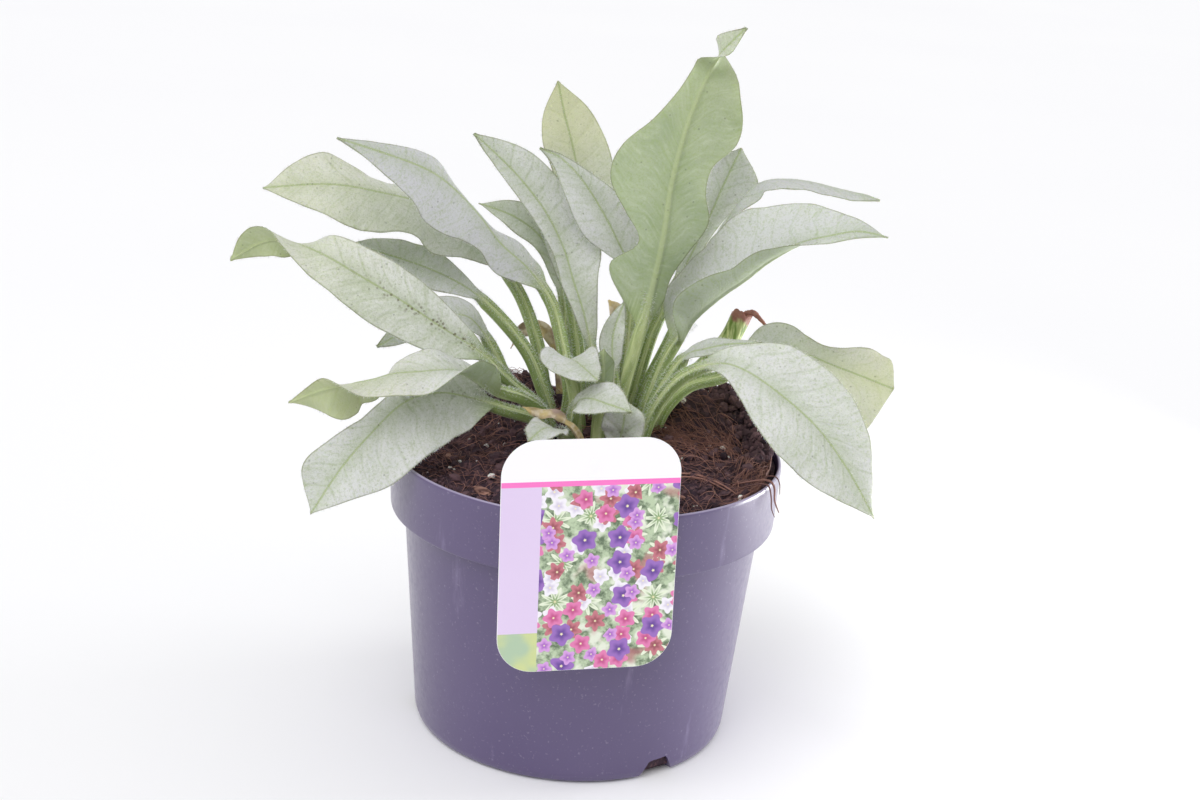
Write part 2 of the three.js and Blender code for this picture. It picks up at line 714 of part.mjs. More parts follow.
// The tongue runs back from the plate over the rim and down into the soil
function tongueSolid(gap) {
  const front = gap ? 1 : -TAG_THICKNESS / 2;
  const half = TAG_THICKNESS / 2 + gap;
  const [top, tip] = [TONGUE_RISE + half, TONGUE_TIP - gap];
  const [inner, outer] = [TONGUE_REACH - half, TONGUE_REACH + half];
  const outline = new THREE.Shape([
    [front, top - 2 * half], [inner, top - 2 * half], [inner, tip], [outer, tip],
    [outer, top - TONGUE_CHAMFER], [outer - TONGUE_CHAMFER, top], [front, top],
  ].map(([y, z]) => new THREE.Vector2(y, z)));
  const width = TONGUE_WIDTH + 2 * gap;
  const tongue = new THREE.ExtrudeGeometry(outline, { depth: width, bevelEnabled: false });
  tongue.rotateX(AXIAL_TURN);
  tongue.rotateZ(AXIAL_TURN);
  tongue.translate(-width / 2, 0, 0);
  return standTag(tongue);
}

function roundedRectangle(width, height, corner) {
  const [right, top] = [width / 2, height / 2];
  const shape = new THREE.Shape();
  shape.moveTo(corner - right, -top);
  shape.absarc(right - corner, corner - top, corner, -AXIAL_TURN, 0);
  shape.absarc(right - corner, top - corner, corner, 0, AXIAL_TURN);
  shape.absarc(corner - right, top - corner, corner, AXIAL_TURN, 2 * AXIAL_TURN);
  shape.absarc(corner - right, corner - top, corner, 2 * AXIAL_TURN, 3 * AXIAL_TURN);
  return shape;
}

function tagGeometry() {
  const face = roundedRectangle(TAG_WIDTH, TAG_HEIGHT, TAG_CORNER);
  const slot = roundedRectangle(TAG_SLOT.width, TAG_SLOT.height, TAG_SLOT.width / 2 - 0.01);
  const shift = new THREE.Vector2(TAG_SLOT.x, TAG_SLOT.z);
  face.holes.push(new THREE.Path(slot.getPoints(4).map((point) => point.add(shift))));
  const depth = TAG_THICKNESS;
  const plate = new THREE.ExtrudeGeometry(face, { depth, bevelEnabled: false, curveSegments: 7 });
  plate.rotateX(AXIAL_TURN);
  plate.rotateY(radians(TAG_ROLL));
  plate.translate(0, 0, TAG_CENTRE.z);
  return toGeometry(standTag(plate).add(tongueSolid(0)));
}

// Leaves

function smoothCurve(points) {
  const places = points.map((point) => new THREE.Vector3(...point));
  return new THREE.CatmullRomCurve3(places, false, "catmullrom", 0.5);
}

function alongCurve(curve, share) {
  const place = curve.getPointAt(share);
  const before = curve.getPointAt(Math.max(share - TANGENT_REACH, 0));
  const ahead = curve.getPointAt(Math.min(share + TANGENT_REACH, 1)).sub(before).normalize();
  return { place, ahead };
}

// Numbers spread evenly over a length, read smoothly at a share of it
function readSmoothly(values, share) {
  if (values.length === 1) return values[0];
  return smoothCurve(values.map((value) => [value, 0, 0])).getPoint(share).x;
}

// The leaf's frame at a share of its length: the midrib's place, the way its upper face looks and
// the way across it
function leafFrame(leaf, curve, share) {
  const { place, ahead } = alongCurve(curve, share);
  if (share === 0) ahead.copy(UP);
  const evenFace = leaf.face.length === 1;
  const face = evenFace ? new THREE.Vector3(...leaf.face[0]) : smoothCurve(leaf.face).getPoint(share);
  face.addScaledVector(ahead, -face.dot(ahead)).normalize();
  if (leaf.twist) {
    const { angle, from, to } = leaf.twist;
    face.applyAxisAngle(ahead, radians(angle) * THREE.MathUtils.smoothstep(share, from, to));
  }
  return { place, ahead, face, across: new THREE.Vector3().crossVectors(ahead, face) };
}

// Half width, and the angles that a half rises by at the midrib and at the margin
function halfBlade(leaf, share, widths, lifts) {
  const along = THREE.MathUtils.clamp((share - leaf.stalk) / (1 - leaf.stalk), 0, 1);
  const petiole = leaf.petiole ?? PETIOLE_HALF_WIDTH;
  const foot = PETIOLE_FOOT_FLARE * Math.max(1 - share / leaf.stalk, 0);
  const stem = along > 0 ? petiole * (1 - along) ** BASE_TAPER : petiole + foot;
  const width = Math.max(stem, readSmoothly([0, ...widths, 0], along), TIP_HALF_WIDTH);
  const blade = Math.min(BLADE_ONSET * along, 1);
  const channel = radians(CHANNEL_ANGLE) * (1 - blade);
  const lift = radians(readSmoothly(lifts, along)) * blade * Math.min(width / LIFTED_WIDTH, 1);
  const inner = THREE.MathUtils.lerp(channel, lift, MIDRIB_LIFT);
  return { width, blade, along, petiole, inner, outer: channel + lift };
}

// A point on the half's curved section at a distance from the midrib, with the section's angle there
function sectionPoint(half, distance) {
  const turn = half.outer - half.inner;
  const angle = half.inner + turn * distance / half.width;
  if (Math.abs(turn) < 0.001) {
    return { out: distance * Math.cos(angle), up: distance * Math.sin(angle), angle };
  }
  const out = half.width * (Math.sin(angle) - Math.sin(half.inner)) / turn;
  const up = half.width * (Math.cos(half.inner) - Math.cos(angle)) / turn;
  return { out, up, angle };
}

// How far the underside stands below the sheet: a rounded petiole, then a low midrib
function keelDepth(half, distance) {
  const round = Math.sqrt(Math.max(1 - (distance / half.width) ** 2, 0));
  const petiole = (1 - half.blade) * PETIOLE_DEPTH * half.petiole / PETIOLE_HALF_WIDTH * round;
  const slope = Math.max(1 - distance / MIDRIB_HALF_WIDTH, 0);
  const rib = half.blade * MIDRIB_DEPTH * (1 - MIDRIB_FADE * half.along) * slope;
  return petiole + rib;
}

// The ring round one cross-section: over the upper face, then back under it
function leafRing(leaf, curve, share, phase) {
  const { place, face, across } = leafFrame(leaf, curve, share);
  const [over, under] = [[], []];
  for (const side of [-1, 1]) {
    const widths = side < 0 ? leaf.left : leaf.right;
    const half = halfBlade(leaf, share, widths, side < 0 ? leaf.liftLeft : leaf.liftRight);
    const inner = Math.min(RIB_HALF_WIDTH, INNER_COLUMN * half.width);
    const distances = [0, inner, (inner + half.width) / 2, half.width];
    for (const distance of distances.slice(side < 0 ? 0 : 1)) {
      const { out, up, angle } = sectionPoint(half, distance);
      const ripple = half.blade * (leaf.ripple ?? 1) * RIPPLE_HEIGHT * (distance / half.width) ** 2
        * Math.sin(2 * Math.PI * RIPPLE_WAVES * share + phase + side);
      const sheet = place.clone().addScaledVector(across, side * out).addScaledVector(face, up + ripple);
      const normal = face.clone();
      if (distance > 0) {
        normal.multiplyScalar(Math.cos(angle)).addScaledVector(across, -side * Math.sin(angle));
      }
      const thickness = distance < half.width ? BLADE_THICKNESS : MARGIN_THICKNESS;
      const top = sheet.clone().addScaledVector(normal, thickness / 2);
      const bottom = sheet.clone().addScaledVector(normal, -thickness / 2 - keelDepth(half, distance));
      const end = side < 0 ? "unshift" : "push";
      over[end](top.toArray());
      under[end](bottom.toArray());
    }
  }
  return [...over, ...under.reverse()];
}

// Shares of the length where the rings stand: even over the petiole, closer towards the tip
function ringShares(leaf) {
  const longSteps = leaf.twist ? TWISTED_LEAF_STEPS : LONG_LEAF_STEPS;
  const { petiole, blade } = leaf.small ? SMALL_LEAF_STEPS : longSteps;
  const shares = [];
  for (let step = 0; step < petiole; step += 1) shares.push(leaf.stalk * step / petiole);
  for (let step = 0; step <= blade; step += 1) {
    const even = step / blade;
    shares.push(leaf.stalk + (1 - leaf.stalk) * even * (1 + TIP_CROWDING * (1 - even)));
  }
  return shares;
}

// Quads of the upper and the lower face are split along the same diagonal, so the faces never cross
function leafGeometry(leaf, number) {
  const curve = smoothCurve(leaf.spine);
  const rings = ringShares(leaf).map((share) => leafRing(leaf, curve, share, number));
  const steps = rings.length - 1;
  const size = rings[0].length;
  const columns = size / 2;
  const index = [];
  for (let step = 0; step < steps; step += 1) {
    for (let side = 0; side < size; side += 1) {
      const [a, b] = [step * size + side, step * size + (side + 1) % size];
      const [c, d] = [a + size, b + size];
      if (side < columns) index.push(a, d, b, a, c, d);
      else index.push(a, c, b, b, c, d);
    }
  }
  const last = steps * size;
  for (let column = 0; column + 1 < columns; column += 1) {
    const [a, b, c, d] = [column, column + 1, size - 1 - column, size - 2 - column];
    index.push(a, b, d, a, d, c);
    index.push(last + a, last + d, last + b, last + a, last + c, last + d);
  }
  return closedBody(indexedGeometry(rings.flat(2), index));
}

// The plain hole that a petiole stands in, from the rootstock up through the soil
function petioleHole(leaf) {
  const curve = smoothCurve(leaf.spine);
  const half = (leaf.petiole ?? PETIOLE_HALF_WIDTH) + PETIOLE_FOOT_FLARE;
  const rings = [];
  for (const share of ringShares(leaf)) {
    const { place, face, across, ahead } = leafFrame(leaf, curve, share);
    if (share === 0) place.addScaledVector(ahead, -HOLE_DEPTH);
    place.addScaledVector(face, -HOLE_SHIFT * half);
    rings.push(Array.from({ length: HOLE_SIDES }, (_, side) => {
      const angle = 2 * Math.PI * (side + 0.5) / HOLE_SIDES;
      const point = place.clone().addScaledVector(across, HOLE_SPREAD * half * Math.cos(angle));
      return point.addScaledVector(face, HOLE_SPREAD * half * Math.sin(angle)).toArray();
    }));
    if (place.z > soilHeight(place.x, place.y) + HOLE_HEADROOM) break;
  }
  return ringedSolid(rings, ringMiddle(rings[0]), ringMiddle(rings[rings.length - 1]));
}

function ringMiddle(ring) {
  const sum = (total, point) => total.map((value, axis) => value + point[axis] / ring.length);
  return ring.reduce(sum, [0, 0, 0]);
}

// The plant in its pot

const group = new THREE.Group();

function addPiece(name, geometry, color, roughness) {
  const material = new THREE.MeshStandardMaterial({ color, roughness, metalness: 0 });
  const mesh = new THREE.Mesh(geometry, material);
  mesh.name = name;
  group.add(mesh);
}

addPiece("pot", potGeometry(), COLOURS.pot, 0.45);
addPiece("soil", soilGeometry(), COLOURS.soil, 1);
addPiece("crown", toGeometry(crownSolid(0)), COLOURS.crown, 0.9);
addPiece("tag", tagGeometry(), COLOURS.tag, 0.4);
for (const [number, leaf] of LEAVES.entries()) {
  addPiece(leaf.name, leafGeometry(leaf, number), COLOURS.leaf, 0.7);
}
for (const [number, leaf] of DEAD_LEAVES.entries()) {
  addPiece(leaf.name, leafGeometry(leaf, number), COLOURS.dry, 0.9);
}
const stump = stemSolid(STALK_LINE, STALK_RADII).add(stemSolid(SHRED_LINE, SHRED_RADII));
addPiece("cut_stalk", toGeometry(stump), COLOURS.stalk, 0.7);

export default group;
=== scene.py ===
"""Looks of a potted lungwort: silvery leaves, peat and coir, a nursery pot and a plain plant tag.

Lengths in this file are millimetres, turned into metres where a mesh is made.
"""
import math
from collections import namedtuple

import bmesh
import bpy
import numpy as np
from mathutils import Matrix, Vector


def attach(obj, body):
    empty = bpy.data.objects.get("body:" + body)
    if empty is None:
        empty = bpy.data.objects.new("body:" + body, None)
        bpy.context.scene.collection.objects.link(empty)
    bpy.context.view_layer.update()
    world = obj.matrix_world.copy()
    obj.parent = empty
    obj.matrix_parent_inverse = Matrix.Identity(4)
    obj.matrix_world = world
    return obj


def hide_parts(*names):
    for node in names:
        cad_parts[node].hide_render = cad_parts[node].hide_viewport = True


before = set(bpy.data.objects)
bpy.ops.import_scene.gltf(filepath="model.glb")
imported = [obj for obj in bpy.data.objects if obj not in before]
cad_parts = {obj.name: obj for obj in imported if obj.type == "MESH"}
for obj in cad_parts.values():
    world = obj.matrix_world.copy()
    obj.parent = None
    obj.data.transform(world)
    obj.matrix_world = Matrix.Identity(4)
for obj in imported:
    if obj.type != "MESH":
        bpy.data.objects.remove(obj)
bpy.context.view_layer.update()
MM = 0.001
SEEDS = {"noise": 11, "crumbs": 21, "fibres": 33, "bark": 47, "stalk": 61, "leaves": 500}

# Pot, as in the frame: its outside from the foot to the lip, then its inside down to the floor
POT_HEIGHT = 127
RIM_RADIUS = 85
BAND_FOOT = 99.5
BAND_FOOT_RADIUS = 84
WALL_TOP_RADIUS = 78
BASE_RADIUS = 70
FOOT_ROUNDING = 4
WALL = 1.7
FLOOR_THICKNESS = 1.8
LEDGE = 100.4
POT_SIDES = 180
POT_ROW_HEIGHT = 12
POT_CREASE = 50
NOTCH_ANGLES = [35, 155, 275]
NOTCH_OUTLINE = [
    (-9, -1), (-9, 0), (-7, 4.5), (-5, 8), (-3, 8.5), (0, 8.6), (3.6, 9), (5, 7), (6.3, 4.5), (9, 0), (9, -1),
]
NOTCH_REACH = 16

# Soil
SOIL_LEVEL = 121
SOIL_RADIUS = 82.2
SOIL_RINGS = 84
SOIL_SIDES = 300
SOIL_SKIRT = [(66.3, 2.1), (68.0, 4.6), (75.9, 98.7), (76.2, 100.6), (82.0, 101.5)]
LUMP_HEIGHT = 1.1
SETTLE = {"width": 7, "smoothing": 0.7, "depth": 1.5}
# Heaps: x, y, how high they rise and how far they reach
MOUNDS = [(5, 14, 14, 32), (-36, 44, 20, 14), (50, 42, 20, 15), (74, -6, 5, 20), (-40, -30, 3, 16)]

# Tag, in front of the rim: its centre is the middle of the plate's rear face
TAG_WIDTH = 71
TAG_HEIGHT = 98
TAG_CORNER = 15
TAG_THICKNESS = 0.7
TAG_CENTRE = (4.2, -86.7, 111.5)
TAG_YAW = 12.6
TAG_ROLL = -1.5
TAG_SLOT = {"x": 1, "z": 36.6, "width": 4.4, "height": 8.5}
TONGUE = {"width": 12, "reach": 7.6, "rise": 131, "tip": 104, "bend": 1.6}
TAG_PRINT = {"head": 17, "line": 2.2, "band": 16, "base": 17}
TAG_BEVEL = 0.15
PRINTED_FACE = {"facing": -0.98, "least_area": 5e-5}
# Flowers of the tag's print: how many to a metre, size, shift of the pattern, petals, depth of the
# cuts between them, colours of petal and heart, and how rare the flower is
PRINT_FLOWERS = [
    (75, 0.5, 0.10, 9, 0.34, (232, 240, 216), (128, 160, 104), 0.45),
    (110, 0.45, 3.70, 5, 0.16, (244, 240, 248), (214, 206, 226), 0.6),
    (95, 0.46, 9.40, 6, 0.2, (196, 116, 128), (150, 74, 86), 0.66),
    (100, 0.46, 5.90, 5, 0.16, (226, 124, 178), (192, 76, 134), 0.62),
    (85, 0.47, 7.30, 5, 0.14, (152, 106, 190), (100, 60, 150), 0.58),
    (125, 0.44, 5.10, 5, 0.16, (214, 158, 224), (168, 104, 196), 0.72),
]

# Stage: lengths in mm, angles in degrees
CAMERA = {"elevation": 17.9, "distance": 778, "roll": 4.1, "target": (4.4, 0, 148), "sensor": 36, "lens": 54}
SUN = {"direction": (0.4, 0.6, -0.9), "spread": 50, "strength": 1.4}
SIDE_LIGHT = {"place": (540, 170, 70), "target": (0, 0, 60), "size": (260, 180), "watts": 3.0}
WORLD_STRENGTH = 0.7
FLOOR_REACH = 12000

# Leaf build
PETIOLE_HALF_WIDTH = 2.4
PETIOLE_FLARE = 0.6
PETIOLE_DEPTH = 3.2
CHANNEL_ANGLE = 35
MIDRIB_DEPTH = 1.1
MIDRIB_FILL = 1.15
MIDRIB_TAPER = 0.7
RIB_REACH = {"tip": 0.4, "root": 1.9, "largest_share": 0.35}
GROOVE = {"depth": 0.32, "taper": 0.6, "width": 0.75}
HALF_THICKNESS = 0.31
MARGIN_THINNING = 0.17
MARGIN_ROUNDING = 0.14
RELIEF = {"swell": 0.45, "wave": 0.5, "vein": 0.16, "pillow": 0.12}
VEIN_WIDTH = 0.09
TIP_HALF_WIDTH = 0.35
LIFTED_WIDTH = 6
RIPPLE_HEIGHT = 0.8
RIPPLE_WAVES = 3.5
TANGENT_REACH = 0.01
LONG_LEAF_STEPS = 96
SMALL_LEAF_STEPS = 54
RIB_COLUMNS = [0.0, 0.3, 0.65, 1.0]
BLADE_COLUMNS = 9

# Felt, veins and what lies on the soil
VEIN_SPACING = 10.0
HAIR_RADIUS = 0.085
# Hairs to a mm of leaf, their shortest and longest, how far they stray and lean towards the tip
HAIRS = {
    "margin": {"per_mm": 1.5, "lengths": (0.7, 1.4), "stray": 0.35, "lean": 0.5},
    "petiole": {"per_mm": 18, "lengths": (0.8, 1.7), "stray": 0.3},
    "face": {"per_mm": 3, "lengths": (0.5, 0.95), "stray": 0.35, "lean": 0.9},
}
PERLITE = {"count": 130, "smallest": 0.4, "spread": 1.0, "power": 2.5, "lift": 0.5, "rough": 0.1}
CRUMBS = {"power": 2.2, "lift": 0.25, "rough": 0.12}
LOOSE_FIBRES = {"count": 900, "length": (7, 26), "curl": 0.35, "lift": (0.6, 4), "radius": (0.07, 0.2)}
MAT_FIBRES = {"length": (9, 22), "curl": 0.12, "lowest": 0.5, "radius": (0.08, 0.2), "palest": 0.3}
COIR_MATS = [
    {"x": 46, "y": 4, "spread": 9, "heading": 165, "count": 180, "lift": 3.5},
    {"x": 62, "y": 0, "spread": 8, "heading": 120, "count": 160, "lift": 3.5},
    {"x": 74, "y": -16, "spread": 6, "heading": 60, "count": 130, "lift": 3.0},
    {"x": 66, "y": -38, "spread": 8, "heading": 30, "count": 110, "lift": 3.0},
    {"x": -52, "y": -28, "spread": 10, "heading": 140, "count": 60, "lift": 3.0},
]
BARK_CHIPS = [
    (-41, -52, 5.0), (-58, -20, 3.2), (-28, -60, 2.6), (40, -48, 2.4), (10, 66, 4.0), (-62, 34, 3.0),
]
BARK_FLATTEN = (1.0, 0.5, 0.28)
BARK_LIFT = 0.6
CRUMB_BANK = {"from": -10, "to": 44, "end": 12, "radius": 75.5, "spread": 3.2, "rise": 8.5}
# Count, smallest and largest radius, divisions of the ball, and the bank that they are heaped in
CRUMB_LAYERS = [(520, 1.1, 2.6, 2, None), (2900, 0.45, 1.2, 1, None), (560, 1.1, 2.4, 2, CRUMB_BANK)]
HANGING_FIBRES = [
    ([(60, -28, 123), (68, -31, 126.5), (74, -33, 128.6), (77.6, -34.6, 129), (79.6, -35.4, 126.5),
      (80.2, -35.8, 121), (82.4, -36.6, 116)], 0.5),
    ([(62, -33, 123), (69, -36, 126.8), (74, -38, 128.8), (76.8, -39.2, 128.4), (78.2, -39.8, 124),
      (78.8, -40.2, 119), (80.4, -41, 115.5)], 0.35),
    ([(70, -24, 124), (76, -27, 128), (80, -29, 129.2), (82, -30.5, 127), (82.6, -31, 122)], 0.3),
    ([(28, -30, 123), (36, -27, 126), (46, -26, 126.5), (56, -31, 125.5), (64, -38, 123.5)], 0.45),
    ([(30, -31, 123), (38, -29, 125.5), (49, -29, 126), (60, -36, 124)], 0.4),
]

# Broken stalk, and the shred that hangs off its torn end: lines and radii from the root outwards
STALK_LINE = [(26, 20, 120), (34, 21, 145), (48, 24, 158), (55, 26, 166), (60, 27, 173), (64, 28, 183)]
STALK_RADII = [3, 3.3, 3.7, 4, 4.3, 4.5]
SHRED_LINE = [(63, 27.5, 181), (68, 27.5, 184.5), (72, 28, 182), (76, 28, 178)]
SHRED_RADII = [2, 1.8, 1.2, 0.5]
STALK_RIBS = {"count": 5, "height": 0.05}
STALK_GRID = {"steps": 60, "sides": 30, "rough": 0.006}
SHRED_GRID = {"steps": 26, "sides": 14, "rough": 0.12}
SHRED_FLATTEN = (0.8, 0.5, 0.8)
TORN_END = {"lip": 0.72, "well": 0.5, "depth": 5}

